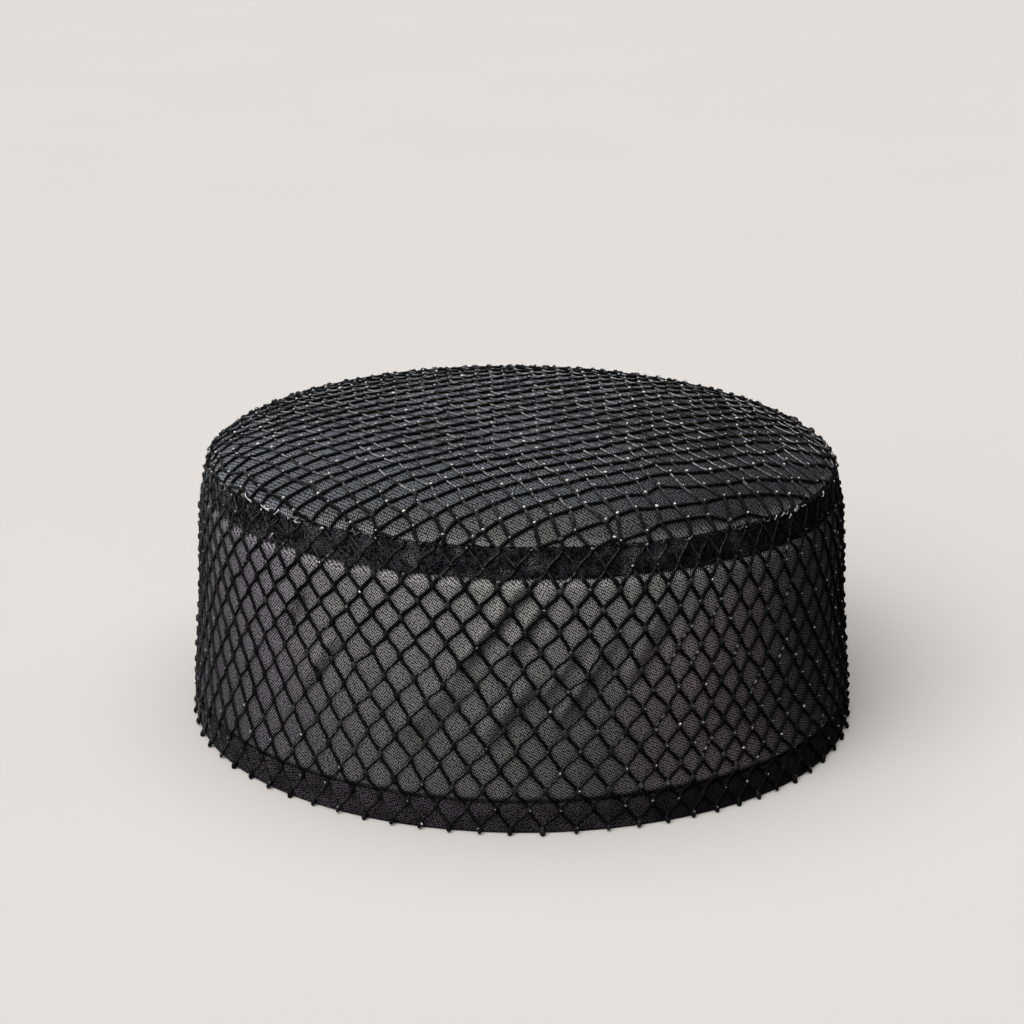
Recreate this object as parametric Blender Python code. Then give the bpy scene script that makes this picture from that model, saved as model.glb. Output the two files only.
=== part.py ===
"""A round kufi: a sheer cloth band and domed crown under a knotted diamond net.

Metres, +Z up. The origin is on the ground plane under the middle of the rim, the front is towards -Y and
the left side towards -X. The cap stands on the flat underside of its hem.

Every layer is a sheet on the same ring of flat facets. A point of a layer is given by its column (how many
facets round from the right-hand side), by its height or its radius, and by its depth under the net's
outer face, so two neighbouring layers keep an even gap all over.
"""
from math import cos, exp, pi, radians, sin, sqrt

import bmesh
import bpy

# Overall size, measured on the net's outer face
RIM_RADIUS = 0.095
SEAM_RADIUS = 0.0888
SEAM_HEIGHT = 0.0729
CROWN_RISE = 0.0088
CROWN_FULLNESS = 3.5    # how far out the top stays nearly flat
SHOULDER_POWER = 0.4    # how upright the crown leaves the seam

# The seam stands a little higher at the left and at the front
LEFT_LIFT = 0.00102
FRONT_LIFT = 0.00198

# Layers and the gap between two of them
NET_THICKNESS = 0.0010
TAPE_THICKNESS = 0.0010
CLOTH_THICKNESS = 0.0012
GAP = 0.0003

# Tape, hem and seam edge
TAPE_HEIGHT = 0.0077
HEM_HEIGHT = 0.0092
HEM_INNER_HEIGHT = 0.0086
HEM_ROUNDING = 0.0007
NET_CLEARANCE_AT_FLOOR = 0.0008
SEAM_ALLOWANCE_HEIGHT = 0.0012

# The wall stands out between tape and hem, up to its own gap from the net
WALL_FULLNESS = 0.0011
WALL_EASE = 0.006       # height over which it comes out

# Facets round the cap, and how many strips each is cut into where the wall has folds
FACETS = 48
FOLD_STRIPS = 3
FOLD_SECTOR = (30, 42)  # first and last facet of the folded stretch, the front being facet 36
WALL_ROWS = 8

# Diamond net: two columns of facets to a cell on the side, straight strands on the crown
STRAND_WIDTH = 0.0024
SIDE_HALF_ROWS = 4
CROWN_STRANDS = (
    # direction seen from above, distance between two strands of that direction
    {"angle_deg": 28.0, "spacing": 0.0212},
    {"angle_deg": -50.0, "spacing": 0.0228},
)
CROWN_NET_OFFSET = (0.006, 0.004)
CROWN_NET_BORDER = 0.0030
SMALLEST_GAP_SHARE = 0.14
CLIP_CIRCLE_SIDES = 96

# Rings of the crown, as shares of its own edge radius
CROWN_RINGS = (1.0, 0.993, 0.970, 0.920, 0.84, 0.70, 0.44)
SLOPE_STEP = 0.0001     # to each side of the place where the crown's slope is taken

# Slanting folds of the wall, pressed in from outside, as seen from the front
WALL_FOLDS = (
    # angle: round the cap from the front, to the right; lean: from upright, to the right
    {"angle_deg": -6.5, "height": 0.0500, "lean_deg": 38.0, "length": 0.030, "width": 0.0035, "depth": 0.0008},
    {"angle_deg": 1.5, "height": 0.0520, "lean_deg": 34.0, "length": 0.026, "width": 0.0030, "depth": 0.0007},
    {"angle_deg": -12.5, "height": 0.0330, "lean_deg": 42.0, "length": 0.024, "width": 0.0036, "depth": 0.0006},
    {"angle_deg": 11.0, "height": 0.0390, "lean_deg": 36.0, "length": 0.028, "width": 0.0036, "depth": 0.0007},
    {"angle_deg": 22.0, "height": 0.0460, "lean_deg": 30.0, "length": 0.024, "width": 0.0040, "depth": 0.0005},
)

# Edges that turn more than this stay crisp
SHARP_ANGLE = radians(35.0)

# Depths of the layers under the net's outer face
UNDER_NET = NET_THICKNESS + GAP
UNDER_TAPE = UNDER_NET + TAPE_THICKNESS + GAP
INSIDE_WALL = UNDER_TAPE + CLOTH_THICKNESS
HEM_INNER_FACE = INSIDE_WALL + GAP
HEM_INSIDE = HEM_INNER_FACE + TAPE_THICKNESS

# Colour, roughness
FINISHES = {
    "side_band": ((0.060, 0.060, 0.063), 0.90),
    "crown": ((0.052, 0.053, 0.056), 0.90),
    "seam_tape": ((0.012, 0.011, 0.013), 0.80),
    "hem_band": ((0.014, 0.011, 0.014), 0.80),
    "side_net": ((0.008, 0.008, 0.009), 0.55),
    "crown_net": ((0.008, 0.008, 0.009), 0.55),
}


def smooth_step(value):
    """0 below 0, 1 above 1, and an even curve between."""
    value = min(max(value, 0.0), 1.0)
    return value * value * (3.0 - 2.0 * value)


def side_radius(height):
    """Radius of the net's outer face on the side: a straight cone from rim to seam."""
    return RIM_RADIUS + (SEAM_RADIUS - RIM_RADIUS) * height / SEAM_HEIGHT


def ring_point(column, radius, height):
    """The point at a column of the faceted ring, on the flat of its facet, with the seam's slight tilt."""
    first = int(column // 1)
    share = column - first
    x, y = 0.0, 0.0
    for corner, weight in ((first, 1.0 - share), (first + 1, share)):
        angle = 2.0 * pi * corner / FACETS
        x += weight * radius * cos(angle)
        y += weight * radius * sin(angle)
    lift = -(LEFT_LIFT * x + FRONT_LIFT * y) / SEAM_RADIUS
    return (x, y, height + lift * min(height / SEAM_HEIGHT, 1.0))


def side_point(column, height, depth):
    """A point of a layer of the side, at a depth under the net's outer face."""
    return ring_point(column, side_radius(height) - depth, height)


def crown_profile(radius):
    """Height of the crown over the seam: a flat-topped dome that leaves the seam upright."""
    share = min(radius / SEAM_RADIUS, 1.0)
    return CROWN_RISE * (1.0 - share ** CROWN_FULLNESS) ** SHOULDER_POWER


def crown_section(depth):
    """Radius and height of the crown's rings for the layer at a depth under the net's outer face.

    The layer is the dome's curve moved inwards along its own normal by the depth.
    """
    section = []
    for share in CROWN_RINGS:
        radius = share * SEAM_RADIUS
        height = SEAM_HEIGHT + GAP + crown_profile(radius)
        if share == 1.0:
            section.append((radius - depth, SEAM_HEIGHT + GAP))
            continue
        rise = crown_profile(radius - SLOPE_STEP) - crown_profile(radius + SLOPE_STEP)
        run = 2.0 * SLOPE_STEP
        length = sqrt(rise * rise + run * run)
        section.append((radius - depth * rise / length, height - depth * run / length))
    section.append((0.0, SEAM_HEIGHT + GAP + CROWN_RISE - depth))
    return section


def material_for(name):
    """One principled material in the piece's own colour."""
    colour, roughness = FINISHES[name]
    material = bpy.data.materials.new(name)
    material.use_nodes = True
    shader = material.node_tree.nodes["Principled BSDF"]
    shader.inputs["Base Color"].default_value = (*colour, 1.0)
    shader.inputs["Roughness"].default_value = roughness
    return material


def add_piece(name, points, faces):
    """A named object from points and faces that point outwards."""
    mesh = bpy.data.meshes.new(name)
    mesh.from_pydata(points, [], faces)
    mesh.validate()
    mesh.shade_smooth()
    mesh.set_sharp_from_angle(angle=SHARP_ANGLE)
    mesh.materials.append(material_for(name))
    piece = bpy.data.objects.new(name, mesh)
    bpy.context.scene.collection.objects.link(piece)
    return piece


def thicken(outer, inner, faces):
    """A closed wall between two sheets with the same faces: both sheets, and a strip along every free edge."""
    count = len(outer)
    closed = list(faces)
    closed += [tuple(count + corner for corner in reversed(face)) for face in faces]
    edges = set()
    for face in faces:
        edges.update(zip(face, face[1:] + face[:1]))
    for start, end in sorted(edges):
        if (end, start) not in edges:
            closed.append((end, start, count + start, count + end))
    return list(outer) + list(inner), closed


def turned_solid(name, section):
    """A closed section of (depth, height) points carried round the side, listed clockwise from outside top."""
    rows = len(section)
    points = [side_point(column, height, depth) for column in range(FACETS) for depth, height in section]
    faces = []
    for column in range(FACETS):
        here, there = column * rows, (column + 1) % FACETS * rows
        for row in range(rows):
            below = (row + 1) % rows
            faces.append((here + row, here + below, there + below, there + row))
    return add_piece(name, points, faces)


def fold_depth(angle, height):
    """How far the wall is pressed in: a rounded groove along each fold that fades out at its ends."""
    pressed = 0.0
    for fold in WALL_FOLDS:
        lean = radians(fold["lean_deg"])
        across_x = (angle + pi / 2.0 - radians(fold["angle_deg"])) * RIM_RADIUS
        across_z = height - fold["height"]
        along = across_x * sin(lean) + across_z * cos(lean)
        across = across_x * cos(lean) - across_z * sin(lean)
        fade = exp(-((2.0 * along / fold["length"]) ** 4))
        pressed = max(pressed, fold["depth"] * fade * exp(-((across / fold["width"]) ** 2)))
    return pressed


def wall_columns():
    """Columns of the wall: the facets, cut into narrow strips along the folded front."""
    columns = []
    for facet in range(FACETS):
        folded = FOLD_SECTOR[0] <= facet < FOLD_SECTOR[1]
        strips = FOLD_STRIPS if folded else 1
        columns += [facet + strip / strips for strip in range(strips)]
    return columns


def make_side_band():
    """The cloth wall: a cone that comes out between tape and hem, with folds pressed into its front."""
    bottom = TAPE_THICKNESS + GAP
    fold_foot = HEM_HEIGHT + WALL_EASE
    fold_head = SEAM_HEIGHT - TAPE_HEIGHT - WALL_EASE
    middle = [fold_foot + (fold_head - fold_foot) * row / (WALL_ROWS - 3) for row in range(WALL_ROWS - 2)]
    heights = [bottom, HEM_HEIGHT + GAP] + middle + [SEAM_HEIGHT - TAPE_HEIGHT - GAP, SEAM_HEIGHT]
    columns = wall_columns()
    outer, inner = [], []
    for column in columns:
        angle = 2.0 * pi * (column - FACETS) / FACETS
        angle = angle if angle > -pi else angle + 2.0 * pi
        for height in heights:
            ease = smooth_step((height - HEM_HEIGHT - GAP) / WALL_EASE)
            ease *= smooth_step((SEAM_HEIGHT - TAPE_HEIGHT - GAP - height) / WALL_EASE)
            depth = UNDER_TAPE - ease * (WALL_FULLNESS - fold_depth(angle, height))
            outer.append(side_point(column, height, depth))
            inner.append(side_point(column, height, depth + CLOTH_THICKNESS))
    rows = len(heights)
    faces = []
    for column in range(len(columns)):
        here, there = column * rows, (column + 1) % len(columns) * rows
        faces += [(here + row, there + row, there + row + 1, here + row + 1) for row in range(rows - 1)]
    return add_piece("side_band", *thicken(outer, inner, faces))


def dome_sheet(section):
    """Points of a crown layer: one ring for each section point, and the pole."""
    points = [ring_point(column, radius, height) for radius, height in section[:-1] for column in range(FACETS)]
    points.append(ring_point(0, *section[-1]))
    return points


def dome_faces(rings):
    """Faces of a dome sheet, pointing up and out."""
    faces = []
    for ring in range(rings - 1):
        for column in range(FACETS):
            after = (column + 1) % FACETS
            lower, upper = ring * FACETS, (ring + 1) * FACETS
            faces.append((lower + column, lower + after, upper + after, upper + column))
    last = (rings - 1) * FACETS
    faces += [(last + column, last + (column + 1) % FACETS, rings * FACETS) for column in range(FACETS)]
    return faces


def make_crown():
    """The cloth top: a dome shell whose seam allowance is turned in over the tops of tape and wall."""
    outer = dome_sheet(crown_section(UNDER_NET))
    inner_section = crown_section(UNDER_NET + CLOTH_THICKNESS)
    edge = SEAM_HEIGHT + GAP
    allowance = SEAM_RADIUS - INSIDE_WALL
    inner_section[0] = (allowance, edge + SEAM_ALLOWANCE_HEIGHT)
    inner = dome_sheet(inner_section)
    points, faces = thicken(outer, inner, dome_faces(len(CROWN_RINGS)))
    first = len(points)
    points += [ring_point(column, allowance, edge) for column in range(FACETS)]
    edge_faces = []
    for column in range(FACETS):
        after = (column + 1) % FACETS
        inside = len(outer)
        faces.remove((after, column, inside + column, inside + after))
        edge_faces.append((after, column, first + column, first + after))
        edge_faces.append((first + after, first + column, inside + column, inside + after))
    return add_piece("crown", points, faces + edge_faces)


def make_seam_tape():
    """The woven tape round the outside of the wall, with its top at the seam."""
    low, high = SEAM_HEIGHT - TAPE_HEIGHT, SEAM_HEIGHT
    inside = UNDER_NET + TAPE_THICKNESS
    section = [(UNDER_NET, high), (UNDER_NET, low), (inside, low), (inside, high)]
    return turned_solid("seam_tape", section)


def make_hem_band():
    """The binding: an outer and an inner leg joined under the wall's lower edge by a flat foot."""
    inside = UNDER_NET + TAPE_THICKNESS
    section = [
        (UNDER_NET, HEM_HEIGHT),
        (UNDER_NET, HEM_ROUNDING),
        (UNDER_NET + HEM_ROUNDING, 0.0),
        (HEM_INSIDE - HEM_ROUNDING, 0.0),
        (HEM_INSIDE, HEM_ROUNDING),
        (HEM_INSIDE, HEM_INNER_HEIGHT),
        (HEM_INNER_FACE, HEM_INNER_HEIGHT),
        (HEM_INNER_FACE, TAPE_THICKNESS),
        (inside, TAPE_THICKNESS),
        (inside, HEM_HEIGHT),
    ]
    return turned_solid("hem_band", section)


def side_net_faces():
    """Faces of the side net in lattice places (column, half row): four strands round each diamond.

    A cell's strands lie between its own corners and the same corners drawn towards its middle. Cells on
    the top and bottom rows are halves, which leaves the net's points at the seam and at the rim.
    """
    half_width = RIM_RADIUS * 2.0 * pi / FACETS
    half_height = SEAM_HEIGHT / SIDE_HALF_ROWS
    strand_length = sqrt(half_width * half_width + half_height * half_height)
    keep = 1.0 - 0.5 * STRAND_WIDTH * strand_length / (half_width * half_height)
    faces = []
    for row in range(SIDE_HALF_ROWS + 1):
        for column in range((row + 1) % 2, FACETS, 2):
            corners = [(-1, 0), (0, -1), (1, 0), (0, 1)]
            if row == 0:
                sides = [(2, 3), (3, 0)]
            elif row == SIDE_HALF_ROWS:
                sides = [(0, 1), (1, 2)]
            else:
                sides = [(0, 1), (1, 2), (2, 3), (3, 0)]
            for start, end in sides:
                (across_a, up_a), (across_b, up_b) = corners[start], corners[end]
                faces.append((
                    (column + across_a, row + up_a),
                    (column + across_b, row + up_b),
                    (column + across_b * keep, row + up_b * keep),
                    (column + across_a * keep, row + up_a * keep),
                ))
    return faces


def make_side_net():
    """The net over the side, its lattice laid on the facets of the wall."""
    low, high = NET_CLEARANCE_AT_FLOOR, SEAM_HEIGHT
    places, outer, inner, faces = {}, [], [], []
    for face in side_net_faces():
        corners = []
        for column, row in face:
            place = (round(column % FACETS, 4) % FACETS, round(row, 4))
            if place not in places:
                places[place] = len(outer)
                height = low + (high - low) * row / SIDE_HALF_ROWS
                outer.append(side_point(column % FACETS, height, 0.0))
                inner.append(side_point(column % FACETS, height, NET_THICKNESS))
            corners.append(places[place])
        faces.append(tuple(corners))
    return add_piece("side_net", *thicken(outer, inner, faces))


def clip_to_circle(polygon, radius):
    """The part of a convex polygon inside a circle, which is taken as a polygon of many sides."""
    for side in range(CLIP_CIRCLE_SIDES):
        angle = 2.0 * pi * side / CLIP_CIRCLE_SIDES
        normal_x, normal_y = cos(angle), sin(angle)
        kept = []
        for (x0, y0), (x1, y1) in zip(polygon, polygon[1:] + polygon[:1]):
            inside0 = radius - (x0 * normal_x + y0 * normal_y)
            inside1 = radius - (x1 * normal_x + y1 * normal_y)
            if inside0 >= 0.0:
                kept.append((x0, y0))
            if inside0 * inside1 < 0.0:
                share = inside0 / (inside0 - inside1)
                kept.append((x0 + share * (x1 - x0), y0 + share * (y1 - y0)))
        polygon = kept
        if len(polygon) < 3:
            return []
    return polygon


def polygon_area(polygon):
    """Area inside a polygon whose corners run anticlockwise."""
    turns = zip(polygon, polygon[1:] + polygon[:1])
    return 0.5 * sum(x0 * y1 - x1 * y0 for (x0, y0), (x1, y1) in turns)


def crown_gaps():
    """Outlines of the crown net's gaps: cells between two sets of parallel strands, clipped by the border."""
    first, second = CROWN_STRANDS
    turn = radians(first["angle_deg"] - second["angle_deg"])
    directions = [(cos(radians(s["angle_deg"])), sin(radians(s["angle_deg"]))) for s in CROWN_STRANDS]
    lengths = (second["spacing"] / sin(turn), first["spacing"] / sin(turn))
    steps = [(dx * length, dy * length) for (dx, dy), length in zip(directions, lengths)]
    insets = [0.5 * STRAND_WIDTH / second["spacing"], 0.5 * STRAND_WIDTH / first["spacing"]]
    full_area = lengths[0] * lengths[1] * sin(turn)
    reach = int(2.0 * SEAM_RADIUS / min(first["spacing"], second["spacing"])) + 1
    gaps = []
    for i in range(-reach, reach):
        for j in range(-reach, reach):
            corners = []
            for a, b in ((0, 1), (0, 0), (1, 0), (1, 1)):
                u = i + a + (0.5 - a) * 2.0 * insets[0]
                v = j + b + (0.5 - b) * 2.0 * insets[1]
                corners.append((
                    CROWN_NET_OFFSET[0] + u * steps[0][0] + v * steps[1][0],
                    CROWN_NET_OFFSET[1] + u * steps[0][1] + v * steps[1][1],
                ))
            if polygon_area(corners) < 0.0:
                corners.reverse()
            clipped = clip_to_circle(corners, SEAM_RADIUS - CROWN_NET_BORDER)
            if clipped and polygon_area(clipped) > SMALLEST_GAP_SHARE * full_area:
                gaps.append(clipped)
    return gaps


def make_gap_cutter():
    """Upright prisms through all the crown net's gaps, in one guide object that only cuts."""
    low, high = 0.5 * SEAM_HEIGHT, SEAM_HEIGHT + 2.0 * CROWN_RISE
    mesh = bpy.data.meshes.new("crown_gap_cutter")
    shape = bmesh.new()
    for outline in crown_gaps():
        bottom = [shape.verts.new((x, y, low)) for x, y in outline]
        top = [shape.verts.new((x, y, high)) for x, y in outline]
        shape.faces.new(reversed(bottom))
        shape.faces.new(top)
        for k in range(len(outline)):
            after = (k + 1) % len(outline)
            shape.faces.new((bottom[k], bottom[after], top[after], top[k]))
    shape.to_mesh(mesh)
    shape.free()
    cutter = bpy.data.objects.new("crown_gap_cutter", mesh)
    cutter.hide_render = True
    cutter.display_type = "WIRE"
    bpy.context.scene.collection.objects.link(cutter)
    return cutter


def make_crown_net():
    """The net over the crown: a skin outside the cloth, cut through in oblique diamonds."""
    outer = dome_sheet(crown_section(0.0))
    inner = dome_sheet(crown_section(NET_THICKNESS))
    net = add_piece("crown_net", *thicken(outer, inner, dome_faces(len(CROWN_RINGS))))
    cut = net.modifiers.new("gaps", "BOOLEAN")
    cut.operation = "DIFFERENCE"
    cut.solver = "EXACT"
    cut.object = make_gap_cutter()
    return net


def main():
    """Clear the scene, then make each piece of the cap."""
    for leftover in list(bpy.data.objects):
        bpy.data.objects.remove(leftover)
    make_side_band()
    make_crown()
    make_seam_tape()
    make_hem_band()
    make_side_net()
    make_crown_net()


main()
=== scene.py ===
"""A round kufi: sheer cloth under a knotted diamond net, with a woven tape at the seam and a bound hem.

Metres, +Z up, the front towards -Y. A place on the side is an angle round the cap from its front to the
right, a height over the ground and a depth under the net's outer face. A place on the crown is where it
lies with the dome rolled out flat, east to the right and north to the back, and a depth. Every sheet,
strand and knot is worked out from such places as whole arrays.
"""
from math import cos, pi, radians, sin

import bpy
import numpy as np
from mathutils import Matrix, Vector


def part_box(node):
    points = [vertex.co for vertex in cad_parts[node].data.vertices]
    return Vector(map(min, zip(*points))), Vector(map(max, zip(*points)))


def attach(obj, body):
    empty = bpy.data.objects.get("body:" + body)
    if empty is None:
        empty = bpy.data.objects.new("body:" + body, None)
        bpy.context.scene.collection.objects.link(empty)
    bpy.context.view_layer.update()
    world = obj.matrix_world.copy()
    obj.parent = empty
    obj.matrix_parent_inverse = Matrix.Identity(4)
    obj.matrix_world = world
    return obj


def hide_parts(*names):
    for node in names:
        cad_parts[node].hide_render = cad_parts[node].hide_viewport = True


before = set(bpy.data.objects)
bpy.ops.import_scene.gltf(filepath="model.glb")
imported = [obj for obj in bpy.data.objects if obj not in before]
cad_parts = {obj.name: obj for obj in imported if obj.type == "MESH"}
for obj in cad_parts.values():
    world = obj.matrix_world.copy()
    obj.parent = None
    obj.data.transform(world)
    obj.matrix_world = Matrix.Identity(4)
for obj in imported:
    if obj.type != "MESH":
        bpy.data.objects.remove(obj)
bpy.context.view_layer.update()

BODY = "root"
TURN = 2.0 * pi


def table(columns, *rows):
    """Rows of numbers as a dictionary for each row, by the names of the columns."""
    return [dict(zip(columns.split(), row)) for row in rows]


# Depths of the layers under the net's outer face
LAYER_GAP = 0.0003
TAPE_FACE = 0.0013
TAPE_BACK = 0.0023
CLOTH_FACE = 0.0026
CLOTH_THICKNESS = 0.0012
WALL_FULLNESS = 0.0020
WALL_EASE = 0.0035
HEM_INSIDE = 0.0051
HEM_DROP = 0.0015

# Unevenness of the cloths and of the tape's foot, the tape's corner, and the depth at which a fold's painted
# shade is fullest
WALL_WAVES = 0.00012
CROWN_WAVES = 0.00010
TAPE_RIPPLE = 0.00016
TAPE_CORNER = 0.0003
FULLEST_FOLD_SHADE = 0.0009

# Sizes of the cap, read from the frame
SIDE_NET_BOX = np.array(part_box("side_net"))
CROWN_NET_BOX = np.array(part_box("crown_net"))
TAPE_BOX = np.array(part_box("seam_tape"))
HEM_BOX = np.array(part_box("hem_band"))
RIM_RADIUS = SIDE_NET_BOX[1, 0]
SEAM_RADIUS = CROWN_NET_BOX[1, 0]
SEAM_HEIGHT = 0.5 * (SIDE_NET_BOX[1, 2] + CROWN_NET_BOX[0, 2] - LAYER_GAP)
SEAM_TILT = 0.5 * (SIDE_NET_BOX[1, 2] - CROWN_NET_BOX[0, 2] + LAYER_GAP)
CROWN_RISE = CROWN_NET_BOX[1, 2] - SEAM_HEIGHT - LAYER_GAP
TAPE_FOOT = TAPE_BOX[0, 2] / (1.0 - SEAM_TILT / SEAM_HEIGHT)
HEM_HEAD = HEM_BOX[1, 2] / (1.0 + SEAM_TILT / SEAM_HEIGHT) - HEM_DROP
HIGH_SIDE = radians(-27.3)      # the direction in which the seam stands highest

# How far the side stands out: along the front of the rim, more at its right front, and high up at the
# left and right
RIM_SWELL = 0.0005
RIGHT_SWELL = 0.0015
HIGH_SWELL = 0.0010

# Curve of the crown
CROWN_FULLNESS = 3.2
SHOULDER_POWER = 0.58
CROWN_PUFF = 0.0027
CROWN_TUCK = 0.0003
CROWN_SAMPLES = 1500

# The net on the side: whole cells round the cap, half rows from seam to rim
NET_COLUMNS = 72
NET_HALF_ROWS = 14
NET_FOOT = 0.0011
STEPS_PER_HALF_ROW = 10
NET_WANDER = 0.00032
ROW_DRIFT = 0.0045
SHEAR_PER_HALF_ROW = radians(-0.25)
NET_CROWDING = radians(6.0)
STRAND_DEPTH = 0.00095
LIFT_ON_WALL = 0.00050
SIDE_STRAND_WANDER = 0.00013

# Its two families of strands. direction: 1 falls to the right, -1 rises; radius, what it loses where the
# strand is thin, and the share it gains at a knot; straighten: how upright a strand leaves its knots
FALLING = dict(direction=1, sides=6, radius=0.00047, thinner=0.00007, at_knot=0.12, straighten=0.30)
RISING = dict(direction=-1, sides=5, radius=0.00041, thinner=0.00026, at_knot=0.15, straighten=0.45)

# The net on the crown: direction from east, and the distance from knot to knot along such a strand
CROWN_MAIN = dict(angle_deg=36.0, step=0.0049, radius=0.00039)
CROWN_CROSS = dict(angle_deg=-50.0, step=0.00655, radius=0.00019)
CROWN_NET_WANDER = 0.00045
CROWN_STRAND_POINTS = 240
CROWN_STRAND_SIDES = 5
CROWN_STRAND_WANDER = 0.00012
SHORTEST_STRAND = 0.012
PLACE_STEPS = 12                # repeats that find a place in the lattice
STRAND_REACH = 26               # strands counted to each side of the middle, more than the crown holds
KNOT_REACH = 28                 # knots counted along a strand to each side of the middle
WANDER_TABLE = 64               # knots after which their wander, and the paleness between them, repeats

# Half lengths of the knots: lengthwise, across and outwards
SIDE_KNOT = np.array([0.00104, 0.00078, 0.00082])
RIM_KNOT = np.array([0.00120, 0.00074, 0.00074])
CROWN_KNOT = np.array([0.00078, 0.00066, 0.00062])
# shape of the painted glints on the knots, times their sizes
GLINT_SHAPE = np.array([1.25, 0.95, 0.7])

# Grids of the cloths: columns round the cap, and rows of one face from edge to edge
SIDE_GRID = (520, 84)
CROWN_GRID = (360, 60)
STRIP_COLUMNS = 480
FLIPPED = [0, 3, 2, 1]          # order of a face's corners that turns it over

# Weave and painted shade of the cloth: least closeness of the weave where it is seen edge on, and its scale
# on top
WEAVE_LEAST = 0.15
CROWN_WEAVE_SCALE = 0.84
# base level of the crown's tone and of its painted light and shade
CROWN_SHADE = 0.56
CROWN_VIEW = radians(22.0)
FLATTEST_VIEW = radians(28.0)

# Seam stitches, tape fuzz and thread ends
STITCH_TURNS = 206
STITCH_REACH = 0.00046
STITCH_RADIUS = 0.00015
FUZZ_COUNT = 900
FUZZ_RADIUS = 0.00006
FUZZ_LENGTHS = (0.0015, 0.0050)
THREAD_RADIUS = 0.00017

# Folds pressed into the front of the cloth wall, as seen from the front
# angle: round the cap from the front, to the right; lean: from upright, to the right
WALL_FOLDS = table(
    "angle_deg height lean_deg length width depth",
    (-4.2, 0.0510, 37.0, 0.030, 0.0021, 0.0010),
    (1.2, 0.0500, 34.0, 0.021, 0.0020, 0.0008),
    (-0.8, 0.0300, 42.0, 0.020, 0.0028, 0.0008),
    (11.2, 0.0370, 38.0, 0.026, 0.0022, 0.0009),
    (7.0, 0.0395, 38.0, 0.020, 0.0020, 0.0007),
    (-13.0, 0.0300, 44.0, 0.024, 0.0030, 0.0006),
    (22.0, 0.0460, 30.0, 0.022, 0.0028, 0.0006),
    (-40.5, 0.0490, 36.0, 0.016, 0.0020, 0.0008),
    (-34.0, 0.0380, 36.0, 0.018, 0.0020, 0.0008),
)

# Camera and image
CAMERA_PLACE = (0.0, -0.6623, 0.2759)
CAMERA_PITCH = radians(18.42)
CAMERA_YAW = radians(0.24)
CAMERA_LENS = 86.1
SENSOR = 36.0

# Lights far away: direction round the cap from the front, height over the ground, and width of the source
LIGHTS = table(
    "name angle_deg elevation_deg softness_deg strength colour",
    ("key", -36.0, 40.0, 55.0, 2.2, (1.0, 0.985, 0.96)),
    ("overhead", -60.0, 82.0, 80.0, 2.7, (0.98, 0.985, 1.0)),
)

random = np.random.default_rng(41)


def smooth_step(value):
    """0 below 0, 1 above 1, and an even curve between."""
    value = np.clip(value, 0.0, 1.0)
    return value * value * (3.0 - 2.0 * value)


def fade(value, start, full):
    """0 up to start, 1 from full on, and an even curve between; full may lie below start."""
    return smooth_step((value - start) / (full - start))


def fade_deg(angle, start, full):
    """The same over an angle, with start and full in degrees."""
    return fade(angle, radians(start), radians(full))


def bell(angle, middle_deg, width_deg):
    """1 at an angle in degrees, falling off to both sides as exp(-share ** 2)."""
    return np.exp(-((angle - radians(middle_deg)) / radians(width_deg)) ** 2)


def from_front(angle):
    """The same angle, from -pi to pi, 0 at the front."""
    return (angle + pi) % TURN - pi


def unit(vectors):
    """The same directions with length 1."""
    return vectors / np.maximum(np.linalg.norm(vectors, axis=-1, keepdims=True), 1e-12)


# Places on the side and on the crown

def tilted(x, y, z):
    """A point with the seam's tilt: raised by its way to the high side and, up to the seam, its height."""
    lift = SEAM_TILT * (x * sin(HIGH_SIDE) - y * cos(HIGH_SIDE)) / SEAM_RADIUS
    return np.stack([x, y, z + lift * np.clip(z / SEAM_HEIGHT, 0.0, 1.0)], axis=-1)


def side_swell(angle, height):
    """How far the side stands out from a straight cone.

    Near the rim a little along the front and, as a bell over the angle, more at the right front; high up a
    step at the left and right.
    """
    turned = from_front(angle)
    rim = RIM_SWELL + RIGHT_SWELL * bell(turned, 52.0, 24.0)
    rim = rim * fade(height, 0.022, 0.0) * fade(np.cos(turned), -0.1, 0.4)
    high = HIGH_SWELL * fade(height, 0.030, 0.060) * fade(np.abs(np.sin(turned)), 0.45, 0.90)
    return rim + high * (1.0 - 0.6 * fade(height, 0.068, 0.073))


def side_point(angle, height, depth):
    """A point of the side: a straight cone from rim to seam with its swell, less the depth."""
    angle, height, depth = np.broadcast_arrays(angle, height, depth)
    radius = RIM_RADIUS + (SEAM_RADIUS - RIM_RADIUS) * height / SEAM_HEIGHT
    radius = radius - depth + side_swell(angle, height)
    return tilted(radius * np.sin(angle), -radius * np.cos(angle), height)


def side_normal(angle):
    """The way out of the side at an angle, square to the cone."""
    slope = (RIM_RADIUS - SEAM_RADIUS) / SEAM_HEIGHT
    return unit(np.stack([np.sin(angle), -np.cos(angle), slope + 0.0 * angle], axis=-1))


def crown_section():
    """Way over the dome, radius, height and normal: height = rise * (1 - share ** fullness) ** power."""
    share = 1.0 - (1.0 - np.linspace(0.0, 1.0, CROWN_SAMPLES)) ** 3
    radius = share * SEAM_RADIUS
    height = (CROWN_RISE + CROWN_PUFF) * (1.0 - share ** CROWN_FULLNESS) ** SHOULDER_POWER
    steps = np.hypot(np.diff(radius), np.diff(height))
    way = np.concatenate([[0.0], np.cumsum(steps)])
    run = np.gradient(radius)
    rise = np.gradient(height)
    length = np.hypot(run, rise)
    return {"way": way, "radius": radius, "height": height, "out": -rise / length, "up": run / length}


DOME = crown_section()
DOME_WAY = DOME["way"][-1]


def on_dome(way, name):
    """A column of the dome's section at a way from its middle."""
    return np.interp(way, DOME["way"], DOME[name])


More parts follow.
